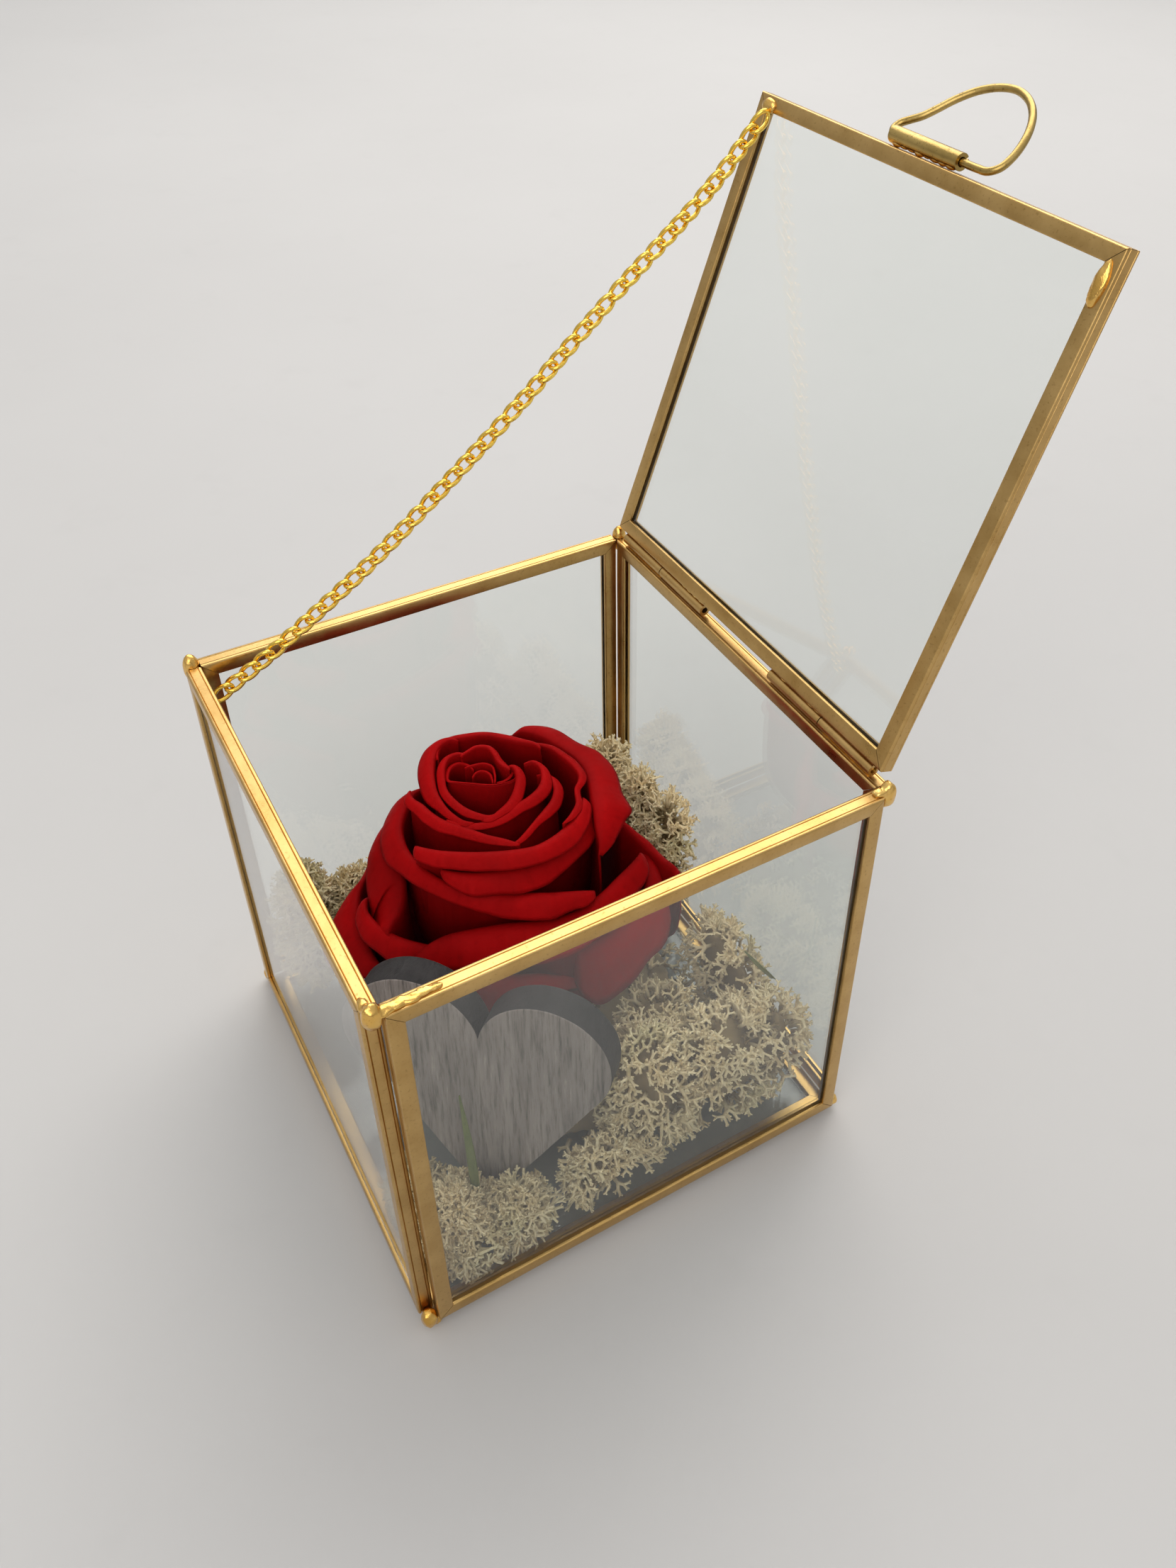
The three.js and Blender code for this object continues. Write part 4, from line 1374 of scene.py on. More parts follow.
@dataclass
class Rose:
    """The preserved rose: its bud, its open petals and its green base."""

    axis: Row = (-10.0, -1.0)
    thickness: float = 0.24
    wall_share: float = 0.55
    foot_width: float = 0.8
    end_share: float = 0.14
    end_pull: float = 0.25
    end_drop: float = 0.35
    end_shrink: float = 0.55
    bend_reach: float = 0.3
    bend_height: float = 0.32
    # Each foot's radius and height, and how both change from one petal to the next.
    petal_feet: Row = (2.6, 34.0, 0.3, -1.12)
    bud_feet: Row = (0.6, 42.0, 0.3, -0.5)
    petal_grid: tuple[int, int] = (60, 26)
    bud_grid: tuple[int, int] = (48, 24)
    bud_seed: float = 31.0
    # How far out and how high the wall has come, from its foot to its crest.
    rise: tuple[tuple[float, float], ...] = ((0, 0), (0.55, 0.06), (0.93, 0.32), (1.0, 0.68), (1.0, 1.0))
    petals: tuple[PetalShape, ...] = (
        PetalShape((
            (-160, 6.4, 60.5, 0.5), (-151, 7.7, 60.4, 0.8), (-143, 8.3, 60.2, 1.1), (-132, 8.3, 59.8, 1.2),
            (-118, 8, 59.1, 1.2), (-102, 7.8, 58.5, 1.2), (-84, 7.3, 58, 1.3), (-67, 7, 57.6, 1.3),
            (-47, 6.9, 57.3, 1.1), (-33, 7, 57.2, 0.8), (-19, 6.7, 57.4, 0.4),
        ), 0.5, 15, 0.25),
        PetalShape((
            (-42, 7.7, 57, 0.5), (-32, 7.3, 57.1, 0.8), (-20, 6.3, 57.5, 1.2), (-2, 5.2, 57.9, 1.5),
            (20, 4.3, 58.5, 1.8), (46, 3.7, 59, 1.8), (70, 3.5, 59.5, 1.5), (90, 3.3, 59.8, 1),
            (101, 2.7, 59.8, 0.5),
        ), 0.5, 15, 0.25),
        PetalShape((
            (103, 9.9, 59.7, 0.5), (112, 9.5, 59.8, 1), (127, 8.6, 59.8, 1.5), (146, 8.6, 59.9, 1.8),
            (165, 9.7, 59.9, 2), (181, 10.4, 59.9, 2), (195, 11.4, 59.8, 2), (206, 11.5, 59.6, 1.5),
            (217, 10.7, 59.4, 1),
        ), 0.6, 20, 0.3),
        PetalShape((
            (-74, 10.3, 56.7, 0.5), (-66, 9.7, 56.6, 0.8), (-56, 9, 56.6, 1), (-41, 8.1, 56.6, 1.1),
            (-26, 7.3, 56.8, 1.2), (-8, 6.5, 57.1, 1.3), (11, 6.1, 57.5, 1.6), (29, 6.6, 57.8, 1.9),
            (48, 7.4, 58.3, 2), (62, 7.7, 58.7, 1.8), (77, 7.7, 59.2, 1.4), (88, 7, 59.5, 1),
            (94, 5.6, 59.4, 0.5),
        ), 0.7, 18, 0.3),
        PetalShape((
            (-14, 12.4, 55.8, 0.3), (-9, 12.1, 55.9, 0.6), (0, 11.2, 56.2, 0.9), (12, 10.3, 56.5, 1.1),
            (27, 9.8, 56.8, 1.5), (41, 9.9, 57.1, 1.7), (53, 9.8, 57.5, 1.7), (64, 9.2, 57.7, 1.5),
            (71, 8.3, 57.9, 1), (76, 7.1, 57.9, 0.4),
        ), 0.6, 18, 0.3),
        PetalShape((
            (-171, 10.7, 60.2, 1), (-162, 11.4, 60.1, 1.8), (-152, 11.4, 59.8, 2.8), (-142, 10.8, 59.4, 3),
            (-130, 10.1, 58.9, 2.9), (-115, 9.5, 58.4, 2.6), (-99, 9.2, 57.9, 2), (-84, 9.1, 57.5, 1.3),
            (-71, 9, 57.2, 1), (-59, 9, 57, 0.8), (-48, 8.7, 56.9, 0.5),
        ), 0.6, 22, 0.35),
        PetalShape((
            (-75, 16.8, 55.4, 1.8), (-69, 16, 55.4, 2.3), (-58, 14.8, 55.3, 2.9), (-38, 13.4, 55.3, 2.9),
            (-14, 13.4, 55.4, 3), (2, 14, 55.4, 3), (21, 14.2, 55.6, 3.2), (38, 14.2, 55.8, 2.6),
            (49, 14.5, 55.9, 1.8), (55, 14.7, 55.9, 1),
        ), 0.5, 22, 0.35),
        PetalShape((
            (25, 14.2, 56.6, 0.5), (34, 14.1, 56.7, 1), (46, 13.9, 56.8, 1.2), (58, 13.2, 57, 1),
            (65, 13.7, 57.1, 1.2), (72, 13.9, 57.2, 1.4), (82, 13.3, 57.3, 1.4), (94, 12.6, 57.4, 1.5),
            (106, 12.3, 57.4, 1.5), (120, 11.2, 57.5, 1), (131, 10.6, 57.5, 0.6),
        ), 0.5, 20, 0.4),
        PetalShape((
            (-116, 14, 57.1, 1), (-108, 13.3, 56.9, 1.5), (-100, 12, 56.8, 1.8), (-89, 11.2, 56.6, 1.9),
            (-78, 10.6, 56.5, 1.9), (-65, 9.9, 56.4, 1.8), (-48, 9.7, 56.3, 1.6), (-32, 10.3, 56.2, 1.3),
            (-18, 11.3, 56.1, 1), (-8, 13, 56, 0.5),
        ), 0.5, 20, 0.35),
        PetalShape((
            (-58, 16.3, 52.7, 1), (-50, 15.9, 52.7, 2.5), (-37, 15.1, 52.7, 3.8), (-15, 14.2, 52.7, 4.2),
            (4, 13.9, 52.7, 4), (24, 14, 52.7, 3.6), (44, 14.4, 52.7, 3.4), (60, 15.5, 52.7, 2.5),
            (70, 16.1, 52.7, 1.5),
        ), 0.4, 28, 0.4),
        PetalShape((
            (34, 19.5, 50.5, 1.5), (38, 18.3, 52.5, 3.2), (45, 16.8, 54, 5.4), (54, 15.8, 54.8, 7),
            (68, 15.5, 55, 6), (83, 15.6, 55, 6), (98, 15.6, 55, 5.6), (114, 15.5, 55, 4.4),
            (126, 15.9, 55, 4.6), (136, 16.2, 55, 3.2), (144, 16.1, 55, 1.6),
        ), 0.3, 14, 0.5),
        PetalShape((
            (112, 17.4, 51.5, 2), (126, 17.6, 52, 2.6), (142, 17.2, 52.3, 3), (158, 16.6, 52, 3),
            (173, 16, 51, 3), (187, 15.6, 49.8, 2.8), (200, 15.4, 48.6, 2.4), (212, 15.6, 47.4, 2),
            (224, 16, 46.4, 1.2),
        ), 0.4, 30, 0.5),
        PetalShape((
            (-152, 17.6, 44.5, 1.5), (-140, 17.8, 45.4, 2.5), (-126, 18.4, 46.4, 3), (-106, 19.3, 47.5, 4),
            (-90, 17.4, 46, 9), (-83, 18.2, 44.5, 9.6), (-77, 20.2, 43, 9), (-75, 22.8, 41.5, 6.5),
            (-74, 24.6, 40.5, 4),
        ), 0.2, 42, 0.4),
        PetalShape((
            (-138, 14, 53.5, 2.6), (-123, 14.1, 53, 4.4), (-112, 15, 52.5, 4.6), (-102, 15.7, 52, 4.5),
            (-92, 16, 51.5, 4.2), (-78, 16.3, 51, 3.2), (-63, 16.3, 50.5, 2.7), (-51, 16.3, 50, 2.7),
            (-36, 16.5, 50, 3.3), (-20, 16.5, 49.5, 4.1), (0, 18.5, 49, 4), (12, 20.4, 48.5, 2.6),
            (19, 22, 48, 1.8),
        ), 0.3, 30, 0.4),
        PetalShape((
            (54, 31.2, 36, 2), (57, 29.8, 38, 3), (57, 27.3, 41, 3.5), (60, 24.4, 43.5, 3.5),
            (63, 22, 45.5, 3), (65, 20.5, 47, 2), (72, 19.5, 47.5, 1.5), (84, 19.2, 47, 1.5),
            (98, 19.4, 46.5, 1.8), (114, 19.6, 46, 1.5),
        ), 0.0, 35, 0.5),
        PetalShape((
            (-97, 23.4, 41, 2), (-89, 24.4, 41, 3), (-81, 24.1, 40.5, 3.8), (-73, 23.2, 40, 3.8),
            (-65, 22.3, 40, 3.8), (-57, 21.5, 40, 3.8), (-51, 21, 40, 3.8), (-42, 20.5, 39.5, 3),
        ), 0.0, 38, 0.4),
        PetalShape((
            (-60, 24.4, 40, 3), (-54, 21.9, 42, 5), (-45, 20, 43.5, 5.8), (-29, 18.8, 44.5, 6),
            (-18, 19, 45, 6), (-2, 20, 45, 5.5), (9, 21, 45, 5), (21, 21.4, 45, 4.5), (33, 22.1, 45.5, 4),
            (44, 23.3, 45.5, 3.5), (51, 24.7, 46, 2.5),
        ), 0.0, 30, 0.5),
        PetalShape((
            (8, 19.5, 35, 7), (15, 20.5, 36.5, 10.5), (24, 22, 38, 11.2), (34, 24, 39.5, 10.2),
            (45, 25.6, 40.4, 8.8), (56, 24.8, 41, 7.4), (69, 23, 42, 4),
        ), -0.2, 62, 0.5),
        PetalShape((
            (-134, 21.5, 38, 1.5), (-109, 23.3, 39, 2.5), (-103, 24.2, 38.5, 5.2), (-97, 24.9, 38, 7.4),
            (-92, 25.3, 37, 7.4), (-86, 25.6, 36, 6.6), (-81, 26, 35, 5), (-75, 26.4, 34, 3),
        ), 0.2, 40, 0.5),
        PetalShape((
            (-46, 21, 35.5, 4), (-37, 21.5, 36.8, 5.8), (-28, 21.6, 37, 6.6), (-19, 21.4, 36, 5.6),
            (-9, 20.8, 34, 3.4), (3, 20, 30.5, 2.4), (16, 20, 28.5, 2.8), (28, 20.5, 27, 2.6),
        ), -0.2, 56, 0.5),
    )
    bud: tuple[PetalShape, ...] = (
        PetalShape((
            (-53, 0.5, 58.2, 0.1), (-172, 1.6, 58.6, 0.3), (-162, 2.8, 58.7, 0.3), (-146, 3.4, 58.7, 0.2),
            (-130, 3.7, 58.4, 0.1),
        ), 0.3, 10, 0.08),
        PetalShape((
            (-18, 0.8, 58.6, 0.1), (154, 0.8, 59, 0.2), (164, 2.3, 59.4, 0.2), (184, 3.4, 59.5, 0.2),
            (205, 4.4, 59.4, 0.2), (218, 5.4, 59.3, 0.1),
        ), 0.3, 10, 0.1),
        PetalShape((
            (14, 0.6, 58.3, 0.1), (57, 1.5, 58.4, 0.3), (75, 2.4, 58.6, 0.4), (91, 3.2, 58.8, 0.3),
            (105, 3.3, 59, 0.1),
        ), 0.3, 10, 0.1),
        PetalShape((
            (-148, 4, 59, 0.1), (-150, 5.1, 59.2, 0.4), (-147, 6.7, 59.3, 0.5), (-138, 7.5, 59.1, 0.6),
            (-127, 7.6, 58.8, 0.5), (-119, 7.4, 58.5, 0.3), (-116, 6.3, 58.5, 0.1), (-110, 3.8, 58.4, 0.05),
            (-77, 1.4, 58.4, 0.05), (17, 1.2, 58.4, 0.05), (60, 3.2, 58.6, 0.05), (81, 4, 59, 0.05),
        ), 0.9, 12, 0.1),
        PetalShape((
            (83, 2.7, 59.9, 0.4), (98, 2.1, 60, 0.8), (143, 2.5, 60.3, 1), (159, 4.2, 60.8, 1),
            (167, 5.3, 61.1, 0.9), (183, 6, 61.1, 0.8), (196, 6.2, 60.8, 0.6), (209, 6.6, 60.6, 0.4),
        ), 0.6, 15, 0.2),
    )

    def build(self, bench: Workbench) -> None:
        """Makes every petal and dresses the base.

        Args:
            bench: Where the pieces are finished.
        """
        for index, shape in enumerate(self.petals):
            bm = self._petal(shape, self._foot(self.petal_feet, index), index + 1.0, self.petal_grid)
            node = f"petal_{index + 1:02d}"
            self._sheet(bench, bm, f"soft_{node}", node)
        whole = bmesh.new()
        for index, shape in enumerate(self.bud):
            join(whole, self._petal(shape, self._foot(self.bud_feet, index), self.bud_seed + index, self.bud_grid))
        self._sheet(bench, whole, "soft_bud", "rose_core")
        bench.dress(["rose_receptacle"], bench.palette.calyx)

    @staticmethod
    def _foot(feet: Row, index: int) -> tuple[float, float]:
        """Gives the radius and the height of one petal's foot."""
        return feet[0] + feet[2] * index, feet[1] + feet[3] * index

    def _sheet(self, bench: Workbench, bm: Mesh, name: str, node: str) -> None:
        """Finishes a sheet of petals and gives it its thickness.

        Args:
            bench: Where the piece is finished.
            bm: The sheet.
            name: The piece's name.
            node: The CAD node that it stands for.
        """
        piece = bench.finish(bm, name, [bench.palette.petal], Body.BOX, [node], NO_SHARP_EDGES)
        thicken(piece, self.thickness)

    def _petal(self, shape: PetalShape, foot: tuple[float, float], seed: float, grid: tuple[int, int]) -> Mesh:
        """Bends a flat grid into a petal.

        Args:
            shape: The petal's shape.
            foot: The foot's radius and height.
            seed: Which pattern its ruffles follow.
            grid: How many faces it has across and from foot to rim.

        Returns:
            The sheet, in millimetres.
        """
        columns, rows = grid
        lines = self._columns(shape, foot, columns)
        bm = bmesh.new()
        bmesh.ops.create_grid(bm, x_segments=columns, y_segments=rows, size=1.0, calc_uvs=True)
        layer = bm.loops.layers.uv.active or bm.loops.layers.uv.new("UVMap")
        for face in bm.faces:
            for loop in face.loops:
                loop[layer].uv = ((loop.vert.co.x + 1) / 2, (loop.vert.co.y + 1) / 2)
        for vert in bm.verts:
            line = lines[round((vert.co.x + 1) / 2 * columns)]
            vert.co = self._point(shape, line, (vert.co.y + 1) / 2, seed)
        return bm

    def _columns(self, shape: PetalShape, foot: tuple[float, float], count: int) -> list[PetalColumn]:
        """Draws the petal's lines from foot to lip, evenly along its crest.

        Args:
            shape: The petal's shape.
            foot: The foot's radius and height.
            count: How many parts the crest is cut into.

        Returns:
            The lines, one more than the parts.
        """
        marks = [self._about_axis(math.radians(angle), radius, height) for angle, radius, height, _ in shape.crest]
        lips = [Vector((point[3], 0, 0)) for point in shape.crest]
        last = len(marks) - 1
        crest = [_spline_point(marks, last * i / count) for i in range(count + 1)]
        reach = max(2, count // 8)
        turns = []
        for i in range(count + 1):
            run = crest[min(count, i + reach)] - crest[max(0, i - reach)]
            turn = math.atan2(-run.x, run.y)
            if turns:
                turn += 2 * math.pi * round((turns[-1] - turn) / (2 * math.pi))
            turns.append(turn)
        middle = turns[count // 2]
        made = []
        for i, (point, turn) in enumerate(zip(crest, turns)):
            start = self._about_axis(middle + (turn - middle) * self.foot_width, *foot)
            outward = Vector((math.cos(turn), math.sin(turn), 0))
            lip = max(0.03, _spline_point(lips, last * i / count).x)
            ending = max(0.0, (abs(2 * i / count - 1) - 1) / self.end_share + 1) ** 2
            pulled = lip * ending
            rounded = point - outward * (self.end_pull * pulled) - Vector((0, 0, self.end_drop * pulled))
            made.append(PetalColumn(start, rounded, outward, lip * (1 - self.end_shrink * ending)))
        return made

    def _about_axis(self, angle: float, radius: float, height: float) -> Vector:
        """Gives the point at an angle, a radius and a height about the rose's axis."""
        return Vector((self.axis[0] + radius * math.cos(angle), self.axis[1] + radius * math.sin(angle), height))

    def _point(self, shape: PetalShape, line: PetalColumn, along: float, seed: float) -> Vector:
        """Finds one point of a petal.

        Args:
            shape: The petal's shape.
            line: The line that the point is on.
            along: From 0 at the foot to 1 at the edge of the lip.
            seed: Which pattern its ruffles follow.

        Returns:
            The point.
        """
        level = Vector((line.crest.x, line.crest.y, 0))
        wave = shape.ruffle * along * along
        sway = line.outward * (wave * (ripple(level, 5.0, seed) + 0.2 * ripple(level, 2.2, seed + 2)))
        lift = Vector((0, 0, wave * ripple(level, 6.0, seed + 9)))
        if along <= self.wall_share:
            share = along / self.wall_share
            out, up, _ = _spline_point([Vector((*step, 0)) for step in self.rise], share * (len(self.rise) - 1))
            point = line.foot.lerp(line.crest, out)
            point.z = line.foot.z + (line.crest.z - line.foot.z) * up
            return point + line.outward * (shape.belly * math.sin(math.pi * min(1.0, up))) + sway + lift
        share = (along - self.wall_share) / (1 - self.wall_share)
        droop = math.radians(shape.droop)
        lip = line.lip * (1 + 0.1 * ripple(level, 4.0, seed + 4))
        over = min(self.bend_height * lip, 0.7 + 0.06 * lip)
        bend = line.crest + line.outward * (self.bend_reach * lip) + Vector((0, 0, over))
        edge = line.crest + line.outward * (lip * math.cos(droop)) - Vector((0, 0, lip * math.sin(droop)))
        curl = Vector((0, 0, -0.1 * lip * share ** 4))
        return line.crest.lerp(bend, share).lerp(bend.lerp(edge, share), share) + curl + sway + lift


@dataclass(frozen=True)
class Lump:
    """A rounded mass of moss that tufts grow out of: its centre, its radii, how many tufts and how small they are."""

    centre: Row
    radii: Row
    tufts: int
    smaller: int = 0

    def within(self, depth: float) -> Row:
        """Gives the radii of the surface that is so many millimetres below the skin."""
        return tuple(max(0.3 * radius, radius - depth) for radius in self.radii)

    def depth(self, point: Vector) -> float:
        """Tells how many millimetres a point is below the lump's skin, seen from its middle."""
        share = Vector((p - c) / r for p, c, r in zip(point, self.centre, self.radii)).length
        return (point - Vector(self.centre)).length * (1 / max(0.05, share) - 1)


@dataclass
class MossClump:
    """Dry branching moss: forked stems that cover several lumps."""

    node: str
    lumps: Sequence[Lump]
    seed: int
    stem: float = 0.42
    thinnest: float = 0.17
    levels: int = 4
    length: float = 1.45
    root_depth: float = 3.3
    core_gap: float = 0.9
    core_grid: float = 0.7
    wall_gap: float = 0.4
    upward: float = 0.35
    taper: float = 0.82
    extra_fork: float = 0.35
    fork_lean: tuple[float, float] = (28, 58)
    fork_shrink: tuple[float, float] = (0.66, 0.96)
    star_shrink: tuple[float, float] = (0.42, 0.62)

    def build(self, bench: Workbench, keep_clear: Callable[[Vector], bool]) -> None:
        """Makes the clump in place of its CAD node.

        Args:
            bench: Where the piece is finished.
            keep_clear: Tells whether a point is inside the rose, the heart or a wall.
        """
        dice = random.Random(self.seed)
        wires: list[Wire] = []
        for lump in self.lumps:
            for _ in range(lump.tufts):
                way = Vector((dice.gauss(0, 1), dice.gauss(0, 1), dice.gauss(self.upward, 1))).normalized()
                root = swollen_point(lump.centre, lump.within(self.root_depth), way)
                if self._buried(root) or root.z < FLOOR_GLASS + 0.3 or keep_clear(root):
                    continue
                out = Vector(c / r for c, r in zip(way, lump.radii)).normalized()
                lean = Vector((dice.gauss(0, 0.3), dice.gauss(0, 0.3), dice.gauss(0.15, 0.3)))
                size = self.length * dice.uniform(0.75, 1.3)
                radius = self.stem * dice.uniform(0.75, 1.2)
                self._grow(dice, wires, root, (out + lean).normalized(), size, radius, lump.smaller, keep_clear)
        bm = wires_to_bmesh(wires, 0, caps=False)
        join(bm, self._heart_of_clump(keep_clear))
        self._mark_depth(bm)
        bench.finish(
            bm, f"branching_{self.node}", [bench.palette.moss], Body.BOX, [self.node], NO_SHARP_EDGES,
        )

    def _buried(self, point: Vector) -> bool:
        """Tells whether a point is so deep in a lump that nothing growing there would show.

        Args:
            point: The point, in millimetres.

        Returns:
            Whether a tuft there is left out.
        """
        depths = (
            Vector((p - c) / r for p, c, r in zip(point, lump.centre, lump.within(self.root_depth))).length
            for lump in self.lumps
        )
        return min(depths) < 0.9

    def _heart_of_clump(self, keep_clear: Callable[[Vector], bool]) -> Mesh:
        """Makes the dense tangle inside, as one lumpy body.

        Args:
            keep_clear: Tells whether a point is taken.

        Returns:
            The body.
        """
        bm = bmesh.new()
        for number, lump in enumerate(self.lumps):
            made = bmesh.ops.create_icosphere(bm, subdivisions=4, radius=1.0)
            for vert in made["verts"]:
                swell = 1.0 + 0.12 * ripple(vert.co, 0.3, self.seed + number) + 0.08 * ripple(vert.co, 0.12, number)
                vert.co = swollen_point(lump.centre, lump.within(self.root_depth + self.core_gap), vert.co, swell)
        tangle = fuse(bm, self.core_grid)
        wall = INSIDE - self.wall_gap
        for vert in tangle.verts:
            vert.co.x = max(-wall, min(wall, vert.co.x))
            vert.co.y = max(-wall, min(wall, vert.co.y))
            vert.co.z = max(FLOOR_GLASS, vert.co.z)
        inside = [face for face in tangle.faces if keep_clear(face.calc_center_median())]
        bmesh.ops.delete(tangle, geom=inside, context="FACES")
        return tangle

    def _mark_depth(self, bm: Mesh) -> None:
        """Notes on every point how near it is to the clump's skin, which the finish uses to paint shade deeper in the
        clump.

        Args:
            bm: The clump's mesh.
        """
        layer = bm.verts.layers.float.new("outwards")
        for vert in bm.verts:
            vert[layer] = 1 - max(lump.depth(vert.co) for lump in self.lumps) / self.root_depth

    def _grow(
        self,
        dice: random.Random,
        wires: list[Wire],
        root: Vector,
        way: Vector,
        length: float,
        radius: float,
        level: int,
        keep_clear: Callable[[Vector], bool],
    ) -> None:
        """Grows one stem and the stems that fork from its end.

        Args:
            dice: The seeded numbers.
            wires: Where stems are collected.
            root: Where the stem starts.
            way: Its direction.
            length: Its length.
            radius: Its radius at the root.
            level: How many forks come before it.
            keep_clear: Tells whether a point is taken.
        """
        end = root + way * length
        if keep_clear(end):
            return
        thin = max(self.thinnest, radius * self.taper)
        last = level >= self.levels - 1
        wires.append(Wire([root - way * radius * 0.5, end], [radius, self.thinnest * 0.85 if last else thin]))
        if last:
            return
        star = level >= self.levels - 2
        forks = 3 if star or dice.random() < self.extra_fork else 2
        side = way.orthogonal().normalized()
        start = dice.uniform(0, 2 * math.pi)
        for number in range(forks):
            spin = Matrix.Rotation(start + 2 * math.pi * number / forks + dice.uniform(-0.5, 0.5), 3, way)
            lean = math.radians(dice.uniform(*self.fork_lean))
            turned = (way * math.cos(lean) + (spin @ side) * math.sin(lean)).normalized()
            shrink = dice.uniform(*(self.star_shrink if star else self.fork_shrink))
            self._grow(dice, wires, end, turned, length * shrink, thin, level + 1, keep_clear)


@dataclass
class Filling:
    """Everything loose around the rose: four clumps of moss and two dried blades."""

    heart: WoodenHeart
    rose: Rose
    # The space that the rose takes: where it starts, its radius there, how fast it widens and how far,
    # and the height over which its outer petals widen it again.
    rose_from: float = 11.0
    rose_radius: float = 10.0
    rose_slope: float = 6.0
    rose_reach: float = 25.5
    petals_from: float = 25.0
    petals_reach: float = 7.0
    heart_half_width: float = 21.4
    heart_gap: float = 0.4
    blade_thickness: float = 0.16
    blade_fold: float = 0.22
    blade_grid: tuple[int, int] = (6, 26)

    def build(self, bench: Workbench) -> None:
        """Makes the moss and the blades.

        Args:
            bench: Where the pieces are finished.
        """
        clumps = [
            MossClump("moss_front", [
                Lump((29.5, -28.6, 7.0), (8.2, 7.4, 7.6), 200), Lump((32.2, -20.5, 8.6), (5.4, 6.0, 6.4), 110),
                Lump((21.6, -32.6, 6.4), (7.0, 4.6, 5.6), 90), Lump((30.2, -30.2, 13.0), (5.0, 4.6, 4.6), 80),
            ], 11),
            MossClump("moss_right", [
                Lump((26.0, 6.5, 14.0), (9.6, 10.0, 13.8), 175), Lump((27.5, 21.0, 14.0), (9.0, 11.5, 12.8), 165),
                Lump((29.8, 30.0, 16.0), (6.6, 6.4, 11.4), 75), Lump((13.2, 31.5, 14.4), (12.0, 5.6, 11.8), 120),
                Lump((32.4, -4.2, 8.4), (4.2, 8.8, 6.6), 75), Lump((16.5, 14.0, 12.0), (7.0, 9.0, 13.0), 80),
                Lump((0, 2.0, 6.4), (29.0, 29.0, 4.0), 360, 1),
            ], 23),
            MossClump("moss_back", [
                Lump((-31.4, 31.8, 19.0), (5.6, 5.4, 17.6), 170), Lump((-20.5, 33.4, 19.0), (9.5, 3.8, 17.2), 180),
                Lump((-11.2, 34.2, 23.5), (7.4, 3.2, 13.8), 110),
            ], 37),
            MossClump("moss_left", [
                Lump((-31.8, -30.6, 17.8), (5.2, 5.8, 15.6), 190), Lump((-31.4, -20.5, 15.6), (5.0, 9.0, 12.4), 210),
            ], 41),
        ]
        for clump in clumps:
            clump.build(bench, self._taken)
        self._blade(bench, "grass_blade_front", (
            (30.2, -26.4, 8.0), (27.4, -25.4, 17.0), (25.2, -24.9, 24.0), (22.9, -24.6, 31.0),
        ), 1.5)
        self._blade(bench, "grass_blade_right", ((22.3, 34.8, 21.2), (20.9, 32.3, 25.0), (19.2, 30.4, 28.0)), 1.2)

    def _taken(self, point: Vector) -> bool:
        """Tells whether a point is in a wall, in the rose or in the heart.

        Args:
            point: The point, in millimetres.

        Returns:
            Whether moss stays out of it.
        """
        if max(abs(point.x), abs(point.y)) > INSIDE - 0.2 or point.z < FLOOR_GLASS:
            return True
        from_axis = math.hypot(point.x - self.rose.axis[0], point.y - self.rose.axis[1])
        bowl = min(self.rose_reach, self.rose_radius + self.rose_slope * (point.z - self.rose_from))
        petals = min(self.petals_reach, max(0.0, point.z - self.petals_from))
        if point.z > self.rose_from and from_axis < bowl + petals:
            return True
        local = self.heart.place().inverted() @ point
        narrowing = min(1.0, (local.y + 35.5) / 28)
        return (
            -self.heart.thickness - self.heart_gap < local.z < self.heart_gap
            and -35 < local.y < 11
            and abs(local.x) < self.heart_half_width * narrowing
        )

    def _blade(self, bench: Workbench, node: str, spine: Sequence[Row], width: float) -> None:
        """Makes one folded grass blade.

        Args:
            bench: Where the piece is finished.
            node: The CAD node that it stands for.
            spine: Its middle line from root to tip.
            width: Its greatest width.
        """
        place = self.heart.place()
        u = place.col[0].to_3d()
        normal = place.col[2].to_3d()
        line = [Vector(point) for point in spine]
        bm = bmesh.new()
        bmesh.ops.create_grid(bm, x_segments=self.blade_grid[0], y_segments=self.blade_grid[1], size=1.0)
        for vert in bm.verts:
            across, along = vert.co.x, (vert.co.y + 1) / 2
            middle = _spline_point(line, along * (len(line) - 1))
            half = width / 2 * math.sin(math.pi * (0.22 + 0.76 * along)) + 0.03
            fold = self.blade_fold * (abs(across) - 0.5)
            vert.co = middle + u * across * half + normal * fold
        bmesh.ops.recalc_face_normals(bm, faces=bm.faces)
        piece = bench.finish(bm, f"folded_{node}", [bench.palette.blade], Body.BOX, [node], NO_SHARP_EDGES)
        thicken(piece, self.blade_thickness)


